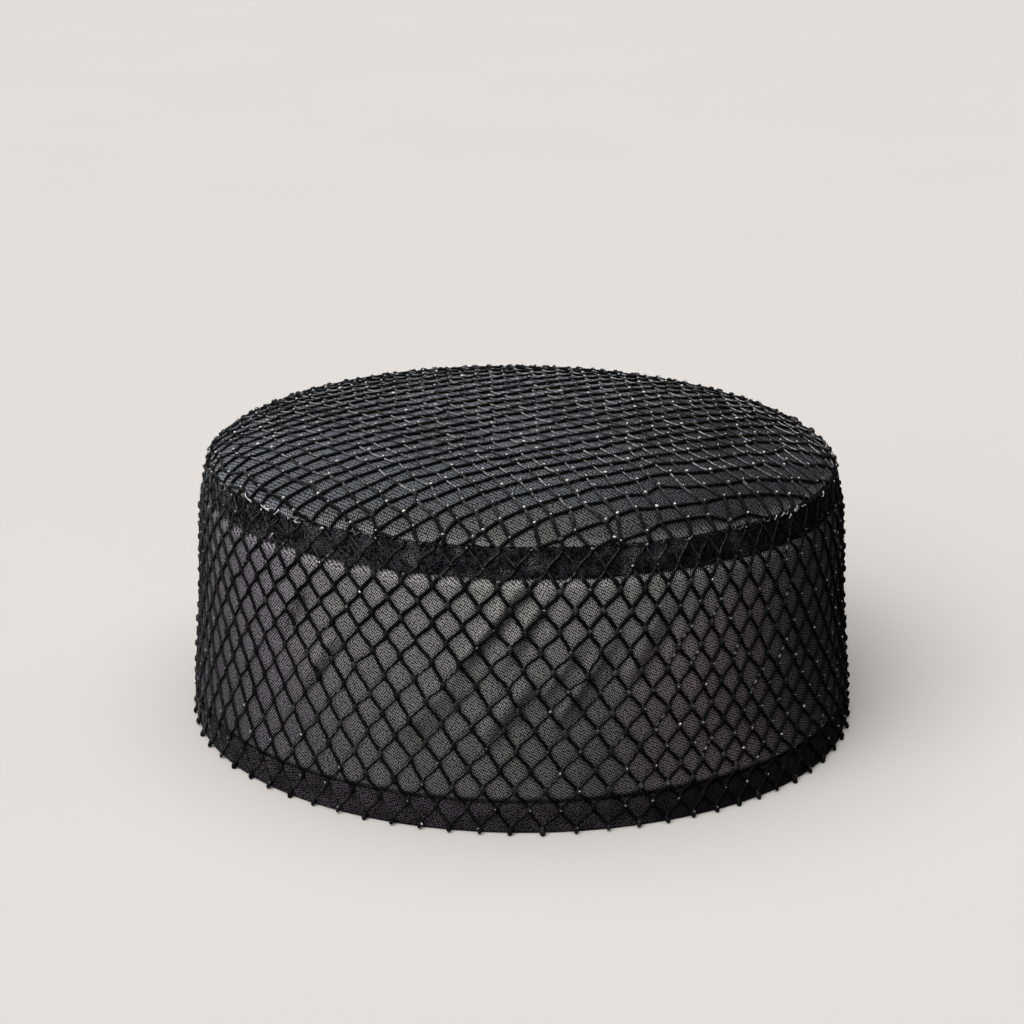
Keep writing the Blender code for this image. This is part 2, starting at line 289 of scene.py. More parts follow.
def crown_point(east, north, depth):
    """A point of the crown: the dome's curve moved inwards along its own normal by the depth."""
    way = np.hypot(east, north)
    radius = on_dome(way, "radius") - depth * on_dome(way, "out")
    height = SEAM_HEIGHT + LAYER_GAP + on_dome(way, "height") - depth * on_dome(way, "up")
    radius = radius - CROWN_TUCK * fade(way / DOME_WAY, 0.80, 1.0)
    share = radius / np.maximum(way, 1e-9)
    return tilted(east * share, north * share, height)


def crown_normal(east, north):
    """The way out of the dome."""
    way = np.hypot(east, north)
    out = on_dome(way, "out") / np.maximum(way, 1e-9)
    return unit(np.stack([east * out, north * out, on_dome(way, "up")], axis=-1))


def weave_ways():
    """Angles, and the way round the side on which the weave is laid.

    The way is the sum of sqrt((cos(angle) ** 2 + least) / (1 + least)), lessened by a bell at the left front,
    times the radius, so that the weave looks about equally fine all over the front.
    """
    angle = np.linspace(-pi, pi, 3601)
    closeness = np.sqrt((np.cos(angle) ** 2 + WEAVE_LEAST) / (1.0 + WEAVE_LEAST))
    closeness = closeness * (1.0 - 0.15 * bell(angle, -50.0, 20.0))
    way = np.cumsum(closeness) * (angle[1] - angle[0]) * RIM_RADIUS
    return angle, way


WEAVE_ANGLE, WEAVE_WAY = weave_ways()


def way_round(columns):
    """The weave's way round the side at each column, and once more where they close."""
    return np.interp(round_cap(columns, closed=True), WEAVE_ANGLE, WEAVE_WAY)


def crown_weave_ways():
    """Ways north over the crown, and the places on which the weave is laid.

    A place is the sum of the sine of the angle at which the photo's view meets the dome, held above the
    flattest one.
    """
    north = np.linspace(-DOME_WAY, DOME_WAY, 2001)
    slope = np.arctan2(on_dome(np.abs(north), "out"), on_dome(np.abs(north), "up"))
    seen = np.sin(np.clip(CROWN_VIEW - np.sign(north) * slope, FLATTEST_VIEW, 0.5 * pi))
    return north, np.cumsum(seen) * (north[1] - north[0])


CROWN_WEAVE_NORTH, CROWN_WEAVE_WAY = crown_weave_ways()


# Places in the net's lattice

def interpolated(table_of_values, first, second):
    """A table's values between its grid places, which wrap round, by weights (1 - u) * (1 - v) and so on."""
    i, j = np.floor(first).astype(int), np.floor(second).astype(int)
    u, v = first - i, second - j
    rows, columns = table_of_values.shape[-2:]
    value = 0.0
    weights = ((0, 0, (1 - u) * (1 - v)), (1, 0, u * (1 - v)), (0, 1, (1 - u) * v), (1, 1, u * v))
    for di, dj, weight in weights:
        value = value + weight * table_of_values[..., (i + di) % rows, (j + dj) % columns]
    return value


def found_place(target, forward, start, back):
    """The lattice place whose point is the target: repeated steps of back times the way still to go."""
    place = start
    for _ in range(PLACE_STEPS):
        place = place + np.tensordot(back, target - np.stack(forward(*place)), axes=1)
    return place


# Mesh making

def cells(grid):
    """The four corners of every cell of a grid over its last two axes, in the order of its faces."""
    corners = [grid[..., :-1, :-1], grid[..., :-1, 1:], grid[..., 1:, 1:], grid[..., 1:, :-1]]
    return np.stack([corner.reshape(-1) for corner in corners], axis=-1)


def corner_places(places):
    """Two grids of places as a pair for each corner of each face."""
    return np.stack([cells(place) for place in places], axis=-1)


def closed_grid(rows, columns, ends_meet=False):
    """Numbers of the points on a grid that closes round its columns and, where its ends meet, its rows."""
    index = np.arange(rows * columns).reshape(rows, columns)
    if ends_meet:
        index = np.concatenate([index, index[:1]])
    return np.concatenate([index, index[:, :1]], axis=1)


def round_cap(columns, closed=False):
    """Angles of the columns round the cap, from the back over the left, front and right, and to it again."""
    return TURN * np.arange(columns + closed) / columns - pi


def add_piece(name, points, quads, material, others=(), uv=None, shade=None, net=None):
    """A smooth named object at the origin that rides on the cap.

    uv holds a place on the sheet and net one in the net's lattice for each corner of the quads, and shade a
    value for each point.
    """
    mesh = bpy.data.meshes.new(name)
    faces = quads.tolist() + [list(face) for face in others]
    mesh.from_pydata(points.reshape(-1, 3).tolist(), [], faces)
    for label, known in (("sheet", uv), ("net", net)):
        places = np.zeros((len(mesh.loops), 2), np.float32)
        if known is not None:
            places[: known.size // 2] = known.reshape(-1, 2)
        mesh.uv_layers.new(name=label).data.foreach_set("uv", places.ravel())
    values = np.ones(len(mesh.vertices)) if shade is None else shade.reshape(-1)
    mesh.attributes.new("shade", "FLOAT", "POINT").data.foreach_set("value", values.astype(np.float32))
    mesh.shade_smooth()
    mesh.materials.append(material)
    piece = bpy.data.objects.new(name, mesh)
    bpy.context.scene.collection.objects.link(piece)
    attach(piece, BODY)
    return piece


def add_tubes(name, centres, normals, radii, sides, material, shade=None):
    """Strands as closed tubes, one for each row of centres.

    A tube's ring at a point is centre + radius * (cos(turn) * across + sin(turn) * up), up being the way
    out of the cloth, square to the strand.
    """
    strands, count = centres.shape[:2]
    along = unit(np.gradient(centres, axis=1))
    across = unit(np.cross(along, normals))
    up = np.cross(across, along)
    turn = TURN * np.arange(sides) / sides
    around = np.cos(turn)[:, None] * across[:, :, None] + np.sin(turn)[:, None] * up[:, :, None]
    points = centres[:, :, None] + radii[:, :, None, None] * around
    index = np.arange(strands * count * sides).reshape(strands, count, sides)
    index = np.concatenate([index, index[..., :1]], axis=2)
    quads = cells(index)[:, FLIPPED]
    steps = np.linalg.norm(np.diff(centres, axis=1), axis=-1)
    length = np.concatenate([np.zeros((strands, 1)), np.cumsum(steps, axis=1)], axis=1)
    length = np.broadcast_to(length[:, :, None], index.shape)
    round_it = np.broadcast_to(np.arange(sides + 1) / sides, index.shape)
    uv = corner_places([length, round_it])[:, FLIPPED]
    caps = index[:, 0, :-1].tolist() + index[:, -1, -2::-1].tolist()
    if shade is not None:
        shade = np.broadcast_to(shade[:, :, None], (strands, count, sides))
    return add_piece(name, points, quads, material, caps, uv, shade)


def add_lumps(name, centres, lengthwise, normals, sizes, material, rings, sides, waist=0.0, shade=None):
    """Knots as small closed lumps, all in one piece.

    A lump is an egg shape: half lengths times (cos(p), sin(p) * cos(q), sin(p) * sin(q)), drawn in round
    its waist by the share given.
    """
    count = len(centres)
    forward = unit(lengthwise)
    across = unit(np.cross(forward, normals))
    up = np.cross(across, forward)
    p = pi * np.arange(1, rings + 1)[:, None] / (rings + 1)
    q = TURN * np.arange(sides)[None, :] / sides
    girth = np.sin(p) * (1.0 - waist * np.exp(-((np.cos(p) / 0.35) ** 2)))
    ring = np.stack([np.cos(p) + 0.0 * q, girth * np.cos(q), girth * np.sin(q)], axis=-1).reshape(-1, 3)
    shape = np.concatenate([ring, [[1.0, 0.0, 0.0], [-1.0, 0.0, 0.0]]])
    placed = shape[None] * sizes[:, None, :]
    axes = np.stack([forward, across, up], axis=1)
    points = centres[:, None] + np.einsum("npk,nkx->npx", placed, axes)
    index = closed_grid(rings, sides)
    quads = cells(index)
    first = [[rings * sides, index[0, k + 1], index[0, k]] for k in range(sides)]
    last = [[rings * sides + 1, index[-1, k], index[-1, k + 1]] for k in range(sides)]
    fans = np.array(first + last)
    offsets = np.arange(count) * len(shape)
    all_quads = (quads[None] + offsets[:, None, None]).reshape(-1, 4)
    all_fans = (fans[None] + offsets[:, None, None]).reshape(-1, 3).tolist()
    if shade is not None:
        shade = np.broadcast_to(shade[:, None], (count, len(shape)))
    return add_piece(name, points, all_quads, material, all_fans, None, shade)


def add_ring(name, section, material, shade, ripple=None):
    """A closed section of (depth, height) points, listed from outside top down, carried round the side."""
    angle = round_cap(STRIP_COLUMNS)
    depth = np.broadcast_to(section[:, :1], (len(section), STRIP_COLUMNS))
    height = np.broadcast_to(section[:, 1:], (len(section), STRIP_COLUMNS))
    if ripple is not None:
        height = height + ripple(angle, height)
    points = side_point(angle[None, :], height, depth)
    index = closed_grid(len(section), STRIP_COLUMNS, ends_meet=True)
    steps = np.hypot(*np.diff(np.vstack([section, section[:1]]), axis=0).T)
    down = np.concatenate([[0.0], np.cumsum(steps)])
    uv = corner_places(np.broadcast_arrays(way_round(STRIP_COLUMNS)[None, :], down[:, None]))[:, FLIPPED]
    return add_piece(name, points, cells(index)[:, FLIPPED], material, (), uv, shade(angle[None, :], height))


# Shader node groups and materials

def new_group(name, inputs, output):
    """An empty shader node group with its two end nodes; an input without a value is a vector."""
    group = bpy.data.node_groups.new(name, "ShaderNodeTree")
    for label, value in inputs.items():
        kind = "NodeSocketVector" if value is None else "NodeSocketFloat"
        socket = group.interface.new_socket(label, in_out="INPUT", socket_type=kind)
        if value is not None:
            socket.default_value = value
    group.interface.new_socket(output, in_out="OUTPUT", socket_type="NodeSocketFloat")
    return group, group.nodes.new("NodeGroupInput"), group.nodes.new("NodeGroupOutput")


def join(tree, source, target):
    """Feeds a socket, or sets it where the source is a plain value."""
    if isinstance(source, bpy.types.NodeSocket):
        tree.links.new(source, target)
    elif source is not None:
        target.default_value = source


def arithmetic(tree, operation, first, second=None, third=None):
    """The output of a Math node."""
    node = tree.nodes.new("ShaderNodeMath")
    node.operation = operation
    for source, target in zip((first, second, third), node.inputs):
        join(tree, source, target)
    return node.outputs[0]


def product(tree, first, second):
    """The product of two values."""
    return arithmetic(tree, "MULTIPLY", first, second)


def parts(tree, vector):
    """The three parts of a vector."""
    node = tree.nodes.new("ShaderNodeSeparateXYZ")
    join(tree, vector, node.inputs[0])
    return node.outputs


def noise(tree, vector, scale, detail=2.0, roughness=0.5):
    """The value of a Noise Texture node."""
    node = tree.nodes.new("ShaderNodeTexNoise")
    join(tree, vector, node.inputs["Vector"])
    join(tree, scale, node.inputs["Scale"])
    node.inputs["Detail"].default_value = detail
    node.inputs["Roughness"].default_value = roughness
    return node.outputs["Fac"]


def ramp(tree, value, low, high, to_low=0.0, to_high=1.0):
    """The output of a smooth Map Range node."""
    node = tree.nodes.new("ShaderNodeMapRange")
    node.interpolation_type = "SMOOTHSTEP"
    for source, target in zip((value, low, high, to_low, to_high), node.inputs):
        join(tree, source, target)
    return node.outputs["Result"]


def blend_colours(tree, share, first, second, kind="MIX"):
    """The output of a Mix node for colours."""
    node = tree.nodes.new("ShaderNodeMix")
    node.data_type = "RGBA"
    node.blend_type = kind
    join(tree, share, node.inputs["Factor"])
    join(tree, first, node.inputs["A"])
    join(tree, second, node.inputs["B"])
    return node.outputs["Result"]


def placed_group(tree, group, **values):
    """A group node's output, with its inputs fed or set, underscores standing for spaces."""
    node = tree.nodes.new("ShaderNodeGroup")
    node.node_tree = group
    for label, source in values.items():
        join(tree, source, node.inputs[label.replace("_", " ")])
    return node.outputs[0]


def new_material(name, roughness, specular):
    """A material with a Principled shader whose constants are set on it, and its node tree."""
    material = bpy.data.materials.new(name)
    material.use_nodes = True
    shader = material.node_tree.nodes["Principled BSDF"]
    shader.inputs["Roughness"].default_value = roughness
    shader.inputs["Specular IOR Level"].default_value = specular
    return material, material.node_tree, shader


def sheet_place(tree, label="sheet"):
    """The place on the sheet or in the net's lattice, from the piece's own UV map."""
    node = tree.nodes.new("ShaderNodeUVMap")
    node.uv_map = label
    return node.outputs["UV"]


def object_place(tree):
    """The place in the piece's own coordinates."""
    return tree.nodes.new("ShaderNodeTexCoord").outputs["Object"]


def shade_value(tree):
    """The shade that the piece's points carry: painted light and shade, and the piece's own tone."""
    node = tree.nodes.new("ShaderNodeAttribute")
    node.attribute_name = "shade"
    return node.outputs["Fac"]


def add_bump(tree, shader, height, distance, strength=1.0):
    """A Bump node that feeds the shader's normal."""
    node = tree.nodes.new("ShaderNodeBump")
    node.inputs["Distance"].default_value = distance
    node.inputs["Strength"].default_value = strength
    join(tree, height, node.inputs["Height"])
    join(tree, node.outputs["Normal"], shader.inputs["Normal"])


def make_weave_group():
    """Fine weave: a slanting grid of pale thread tops, each a little off its place."""
    inputs = {"Place": None, "Threads per metre": 1900.0, "Slant": 0.5, "Wander": 0.5}
    group, start, end = new_group("fine_weave", inputs, "Threads")
    turned = group.nodes.new("ShaderNodeVectorRotate")
    turned.rotation_type = "Z_AXIS"
    join(group, start.outputs["Place"], turned.inputs["Vector"])
    join(group, start.outputs["Slant"], turned.inputs["Angle"])
    longer = group.nodes.new("ShaderNodeMapping")
    longer.inputs["Scale"].default_value = (1.12, 0.86, 1.0)
    join(group, turned.outputs["Vector"], longer.inputs["Vector"])
    dots = group.nodes.new("ShaderNodeTexVoronoi")
    dots.voronoi_dimensions = "2D"
    join(group, longer.outputs["Vector"], dots.inputs["Vector"])
    join(group, start.outputs["Threads per metre"], dots.inputs["Scale"])
    join(group, start.outputs["Wander"], dots.inputs["Randomness"])
    join(group, ramp(group, dots.outputs["Distance"], 0.10, 0.54, 1.0, 0.0), end.inputs["Threads"])
    return group


def make_fibre_group():
    """Loose fibres: thin lines where any of three turned and drawn-out noises crosses its middle value."""
    group, start, end = new_group("loose_fibres", {"Place": None, "Scale": 500.0, "Width": 0.05}, "Fibres")
    lines = []
    for turn, stretch in ((35.0, 0.35), (-40.0, 0.30), (85.0, 0.40)):
        mapping = group.nodes.new("ShaderNodeMapping")
        mapping.inputs["Rotation"].default_value = (0.3, 0.2, radians(turn))
        mapping.inputs["Scale"].default_value = (1.0, stretch, 1.0)
        join(group, start.outputs["Place"], mapping.inputs["Vector"])
        value = noise(group, mapping.outputs["Vector"], start.outputs["Scale"], 1.0)
        away = arithmetic(group, "ABSOLUTE", arithmetic(group, "SUBTRACT", value, 0.5))
        lines.append(ramp(group, away, 0.0, start.outputs["Width"], 1.0, 0.0))
    most = arithmetic(group, "MAXIMUM", arithmetic(group, "MAXIMUM", lines[0], lines[1]), lines[2])
    join(group, most, end.inputs["Fibres"])
    return group


def make_cell_group():
    """How far a place lies from the net: 1 in the middle of a cell, 0 under a strand.

    A strand's place in the lattice is a whole number, so it is the distance from the nearest whole number.
    """
    group, start, end = new_group("net_cells", {"Place": None}, "Clear")
    place = parts(group, start.outputs["Place"])
    clear = []
    for axis in (0, 1):
        away = arithmetic(group, "PINGPONG", place[axis], 0.5)
        clear.append(ramp(group, away, 0.03, 0.24))
    join(group, product(group, clear[0], clear[1]), end.inputs["Clear"])
    return group


WEAVE = make_weave_group()
CELLS = make_cell_group()
FIBRES = make_fibre_group()


# Colours: the cloth's dark gaps and its thread tops, plain and in patches, by where they lie
CLOTH_GAP = (0.018, 0.017, 0.020, 1.0)
SIDE_TINTS = (0.448, 0.424, 0.434, 1.0), (0.440, 0.438, 0.400, 1.0)
SEAM_TINTS = (0.438, 0.436, 0.440, 1.0), (0.436, 0.440, 0.405, 1.0)
CROWN_TINTS = (0.396, 0.440, 0.482, 1.0), (0.416, 0.422, 0.490, 1.0)
LEFT_TINT = (0.452, 0.412, 0.474, 1.0)
RIGHT_TINT = (0.492, 0.402, 0.430, 1.0)
FAR_RIGHT_TINT = (0.448, 0.402, 0.500, 1.0)
CROWN_RIGHT_TINT = (0.430, 0.412, 0.515, 1.0)

# Colours of the other pieces, dark first and pale second
TAPE_COLOURS = (0.0008, 0.0007, 0.0010, 1.0), (0.260, 0.243, 0.262, 1.0)
TAPE_FUZZ = (0.060, 0.053, 0.070, 1.0)
HEM_COLOURS = (0.0016, 0.0014, 0.0018, 1.0), (0.092, 0.078, 0.096, 1.0)
CORD_COLOURS = (0.0022, 0.0022, 0.0026, 1.0), (0.300, 0.296, 0.308, 1.0)
PALE_THREAD_AND_GLINT_COLOURS = (0.10, 0.10, 0.11, 1.0), (0.80, 0.79, 0.77, 1.0)
FLOOR_COLOURS = (0.575, 0.545, 0.520, 1.0), (0.595, 0.565, 0.540, 1.0)

# The weave of each cloth
CLOTH_WEAVE = {"Threads_per_metre": 1790.0, "Slant": 0.5, "Wander": 0.36}
TAPE_WEAVE = {"Threads_per_metre": 1800.0, "Slant": 0.2, "Wander": 0.5}
HEM_WEAVE = {"Threads_per_metre": 1800.0, "Slant": 0.35, "Wander": 0.5}
CORD_TWIST = 1150.0             # turns of the cord's thread per metre


def crown_mask(tree, north, height):
    """1 on the crown's cloth: near its top, or anywhere above the seam that is not at the front."""
    top = SEAM_HEIGHT + CROWN_RISE + CROWN_PUFF
    on_top = ramp(tree, height, top - 0.7 * CROWN_RISE, top - 0.1 * CROWN_RISE)
    behind = product(tree, ramp(tree, north, -0.078, -0.050), ramp(tree, height, SEAM_HEIGHT, top))
    behind = arithmetic(tree, "MINIMUM", product(tree, behind, 6.0), 1.0)
    return arithmetic(tree, "MAXIMUM", on_top, behind)


def cloth_tint(tree, place):
    """Colour of the thread tops: warmer to the right, cooler on the crown, with patches in both."""
    patches = ramp(tree, noise(tree, place, 75.0, 2.0), 0.50, 0.70)
    tint = blend_colours(tree, patches, *SIDE_TINTS)
    east, north, height = parts(tree, place)
    over_middle = arithmetic(tree, "MAXIMUM", arithmetic(tree, "SUBTRACT", height, 0.045), 0.0)
    low_east = arithmetic(tree, "MULTIPLY_ADD", over_middle, -2.0, east)
    for way, start, full, colour in (
        (east, -0.040, -0.068, LEFT_TINT),
        (low_east, 0.018, 0.042, RIGHT_TINT),
        (east, 0.062, 0.078, FAR_RIGHT_TINT),
    ):
        tint = blend_colours(tree, ramp(tree, way, start, full), tint, colour)
    seam_tint = blend_colours(tree, patches, *SEAM_TINTS)
    crown_tint = blend_colours(tree, patches, *CROWN_TINTS)
    crown_tint = blend_colours(tree, ramp(tree, east, 0.035, 0.070), crown_tint, CROWN_RIGHT_TINT)
    above_seam = ramp(tree, height, SEAM_HEIGHT - 0.001, SEAM_HEIGHT + 0.001)
    tint = blend_colours(tree, above_seam, tint, seam_tint)
    return blend_colours(tree, crown_mask(tree, north, height), tint, crown_tint)


def make_cloth_material():
    """Sheer charcoal cloth: pale thread tops over dark gaps, faintly tinted, darker along the net by painted
    shadow.
    """
    material, tree, shader = new_material("sheer_cloth", 0.85, 0.15)
    on_sheet = sheet_place(tree)
    weave = placed_group(tree, WEAVE, Place=on_sheet, **CLOTH_WEAVE)
    grain = ramp(tree, noise(tree, on_sheet, 260.0, 3.0), 0.2, 0.8, 0.75, 1.0)
    tint = cloth_tint(tree, object_place(tree))
    colour = blend_colours(tree, product(tree, weave, grain), CLOTH_GAP, tint)
    # Painted shadow: darker along the net's strands and paler in the middle of each cell, times the points'
    # shade
    clear = placed_group(tree, CELLS, Place=sheet_place(tree, "net"))
    level = product(tree, shade_value(tree), ramp(tree, clear, 0.0, 1.0, 0.70, 1.12))
    join(tree, blend_colours(tree, 1.0, colour, level, "MULTIPLY"), shader.inputs["Base Color"])
    add_bump(tree, shader, arithmetic(tree, "MULTIPLY_ADD", clear, 1.5, weave), 0.00010, 0.6)
    return material


def make_tape_material():
    """Woven tape: near black, its weave showing paler in patches, with purple-grey fuzz standing off it."""
    material, tree, shader = new_material("woven_tape", 0.9, 0.08)
    place = sheet_place(tree)
    weave = placed_group(tree, WEAVE, Place=place, **TAPE_WEAVE)
    fibres = placed_group(tree, FIBRES, Place=object_place(tree), Scale=420.0, Width=0.025)
    patches = ramp(tree, noise(tree, place, 150.0, 2.0), 0.46, 0.72, 0.02, 1.0)
    # Painted light and shade from the points: weave and fuzz paler to the left, darker to the right
    painted_light_level = ramp(tree, shade_value(tree), 0.0, 0.6, 0.15, 1.0)
    ground = blend_colours(tree, product(tree, product(tree, weave, patches), painted_light_level), *TAPE_COLOURS)
    fuzz = product(tree, fibres, shade_value(tree))
    join(tree, blend_colours(tree, fuzz, ground, TAPE_FUZZ), shader.inputs["Base Color"])
    add_bump(tree, shader, arithmetic(tree, "ADD", weave, fibres), 0.00012, 0.7)
    return material


def make_hem_material():
    """Hem binding: dark cloth whose fine weave shows in soft patches."""
    material, tree, shader = new_material("hem_binding", 0.8, 0.10)
    place = sheet_place(tree)
    weave = placed_group(tree, WEAVE, Place=place, **HEM_WEAVE)
    patches = ramp(tree, noise(tree, place, 190.0, 2.0), 0.35, 0.65, 0.45, 1.0)
    # the points' painted shade
    level = product(tree, product(tree, weave, patches), shade_value(tree))
    join(tree, blend_colours(tree, level, *HEM_COLOURS), shader.inputs["Base Color"])
    add_bump(tree, shader, weave, 0.00012, 0.6)
    return material


def make_cord_material():
    """Net cord: black twisted thread, greyer where its shade says so: its own tone, and painted light,
    highlights and shade.
    """
    material, tree, shader = new_material("net_cord", 0.6, 0.06)
    length, around, _ = parts(tree, sheet_place(tree))
    turns = arithmetic(tree, "MULTIPLY_ADD", length, CORD_TWIST, around)
    twist = arithmetic(tree, "SINE", product(tree, turns, TURN))
    fuzz = noise(tree, object_place(tree), 2600.0, 2.0)
    speckle = ramp(tree, noise(tree, object_place(tree), 1100.0, 2.0), 0.35, 0.65, 0.35, 1.5)
    pale = product(tree, shade_value(tree), speckle)
    join(tree, blend_colours(tree, pale, *CORD_COLOURS), shader.inputs["Base Color"])
    add_bump(tree, shader, arithmetic(tree, "MULTIPLY_ADD", twist, 0.35, fuzz), 0.00006, 0.7)
    return material


def make_pale_thread_and_glint_material():
    """Pale waxed thread ends, and painted glints on the knots, each a little lighter or darker."""
    material, tree, shader = new_material("pale_thread_and_glints", 0.35, 0.6)
    colour = blend_colours(tree, shade_value(tree), *PALE_THREAD_AND_GLINT_COLOURS)
    join(tree, colour, shader.inputs["Base Color"])
    add_bump(tree, shader, noise(tree, object_place(tree), 3000.0), 0.00005, 0.5)
    return material


def make_floor_material():
    """Matt pale plaster."""
    material, tree, shader = new_material("pale_floor", 0.75, 0.2)
    cloud = noise(tree, object_place(tree), 6.0, 3.0)
    join(tree, blend_colours(tree, cloud, *FLOOR_COLOURS), shader.inputs["Base Color"])
    add_bump(tree, shader, noise(tree, object_place(tree), 400.0, 3.0), 0.0002, 0.15)
    return material


CLOTH = make_cloth_material()
TAPE = make_tape_material()
HEM = make_hem_material()
CORD = make_cord_material()
PALE_THREAD_AND_GLINTS = make_pale_thread_and_glint_material()


# Cloth

def fold_depth(angle, height):
    """How far the wall is pressed in at its folds.

    Each fold is a groove exp(-across ** 2) with a lower crest beside it, and fades out at its ends.
    """
    pressed = np.zeros(np.broadcast(angle, height).shape)
    turned = from_front(angle)
    for fold in WALL_FOLDS:
        lean = radians(fold["lean_deg"])
        right = (turned - radians(fold["angle_deg"])) * RIM_RADIUS
        up = height - fold["height"]
        along = right * sin(lean) + up * cos(lean)
        across = (right * cos(lean) - up * sin(lean)) / fold["width"]
        shown = np.exp(-((2.0 * along / fold["length"]) ** 4))
        groove = np.exp(-(across ** 2))
        crest = 0.7 * np.exp(-(((across + 1.3) / 0.6) ** 2))
        pressed = pressed + fold["depth"] * shown * (groove - crest)
    return pressed


def soft_waves(angle, height):
    """Slow unevenness of stretched cloth, a few waves round the cap, from -1 to 1."""
    return (np.sin(7.0 * angle + 60.0 * height + 0.8) + np.sin(11.0 * angle - 90.0 * height + 2.1)
            + np.sin(17.0 * angle + 130.0 * height)) / 3.0


def right_share(angle):
    """1 at the right of the cap, where the cloth sees least light and the colours get painted shade, 0 at the
    front and the left.
    """
    return fade_deg(angle, 24.0, 62.0) * fade_deg(angle, 150.0, 105.0)


def cloth_tone_and_painted_shade(angle, height):
    """Cloth is palest just under the tape and darker towards the hem, with painted shade to the right.

    Bells over the angle paint light at the front under the tape, and paint shade at the left and low down
    just right of the front.
    """
    share = (TAPE_FOOT - height) / (TAPE_FOOT - HEM_HEAD)
    turned = from_front(angle)
    level = 1.0 - 0.50 * smooth_step(share) + 0.05 * soft_waves(angle, height)
    level = level + 0.24 * bell(turned, 2.0, 26.0) * (1.0 - smooth_step(2.0 * share))
    level = level * (1.0 - 0.19 * bell(turned, -60.0, 16.0))
    level = level - 0.12 * bell(turned, 12.0, 10.0) * smooth_step(share / 0.6)
    level = level * (1.0 + 0.30 * (share - 0.5) * fade_deg(turned, 20.0, 40.0))
    return level * (1.0 - 0.68 * right_share(angle))


def side_lattice(angle, height):
    """Which falling and which rising strand lies at a place of the side, with fractions between strands."""
    target = np.stack(np.broadcast_arrays(angle, height))
    back = np.diag([NET_COLUMNS / pi, -NET_HALF_ROWS / (SEAM_HEIGHT - NET_FOOT)])
    start = np.stack([target[0] * back[0, 0], (target[1] - SEAM_HEIGHT) * back[1, 1]])
    column, row = found_place(target, net_place, start, back)
    return (column - row) / 2.0, (column + row) / 2.0


def wall_share(height, ease):
    """1 where the wall shows between tape and hem, falling to 0 behind them within a third of the ease."""
    share = smooth_step((height - HEM_HEAD - LAYER_GAP) / (0.25 * ease))
    return share * smooth_step((TAPE_FOOT - LAYER_GAP - height) / (0.3 * ease))


def make_side_cloth():
    """The wall: a cone, fuller between tape and hem, with folds at the front, two faces and both edges."""
    columns, rows = SIDE_GRID
    angle = round_cap(columns)
    height = np.linspace(TAPE_BACK - TAPE_FACE + LAYER_GAP, SEAM_HEIGHT, rows)[:, None]
    folded = fold_depth(angle, height)
    pressed = folded + WALL_WAVES * (1.0 + soft_waves(angle, height))
    depth = CLOTH_FACE - wall_share(height, WALL_EASE) * (WALL_FULLNESS - pressed)
    outer = side_point(angle, height, depth)
    inner = side_point(angle, height, depth + CLOTH_THICKNESS)
    points = np.concatenate([outer, inner[::-1]])
    index = closed_grid(2 * rows, columns, ends_meet=True)
    up = np.concatenate([height[:, 0], height[::-1, 0], height[:1, 0]])
    uv = corner_places(np.broadcast_arrays(way_round(columns)[None, :], up[:, None]))
    strands = side_lattice(round_cap(columns, closed=True), height)
    net = corner_places([np.concatenate([place, place[::-1], place[:1]]) for place in strands])
    # Painted shade in the folds' grooves and painted highlight on their crests
    shade = cloth_tone_and_painted_shade(angle, height) * (1.0 - 0.45 * np.clip(folded / FULLEST_FOLD_SHADE, -0.6, 1.0))
    shade = np.concatenate([shade, shade[::-1]])
    cloth = add_piece("side_cloth", points, cells(index), CLOTH, (), uv, shade, net)
    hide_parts("side_band")
    return cloth


def crown_face_places(pair):
    """Places of the crown's face corners: both faces' cells, then fans round the mean of the first ring."""
    both = [np.pad(np.concatenate([place, place[::-1]]), ((0, 0), (0, 1)), "wrap") for place in pair]
    quads = corner_places(both)[:, FLIPPED]
    ring = np.pad(pair[:, 0], ((0, 0), (0, 1)), "wrap").T
    middle = np.broadcast_to(pair[:, 0].mean(axis=1), (len(ring) - 1, 2))
    outer = np.stack([ring[:-1], ring[1:], middle], axis=1)
    inner = np.stack([ring[:-1], middle, ring[1:]], axis=1)
    return np.concatenate([corners.reshape(-1, 2) for corners in (quads, outer, inner)])


def crown_painted_shade(east, north, share):
    """Crown: painted shade to the front and right, painted sheen at the back and painted light at the front
    seam.
    """
    shade = CROWN_SHADE - 0.20 * fade(north, -0.015, -0.075) + 0.46 * fade(north, 0.005, 0.050)
    shade = shade * (1.0 - 0.72 * fade(east, -0.002, 0.056) * fade(north, 0.065, 0.015))
    return shade + 0.40 * fade(share, 0.950, 1.0) * fade(north, 0.03, -0.02)


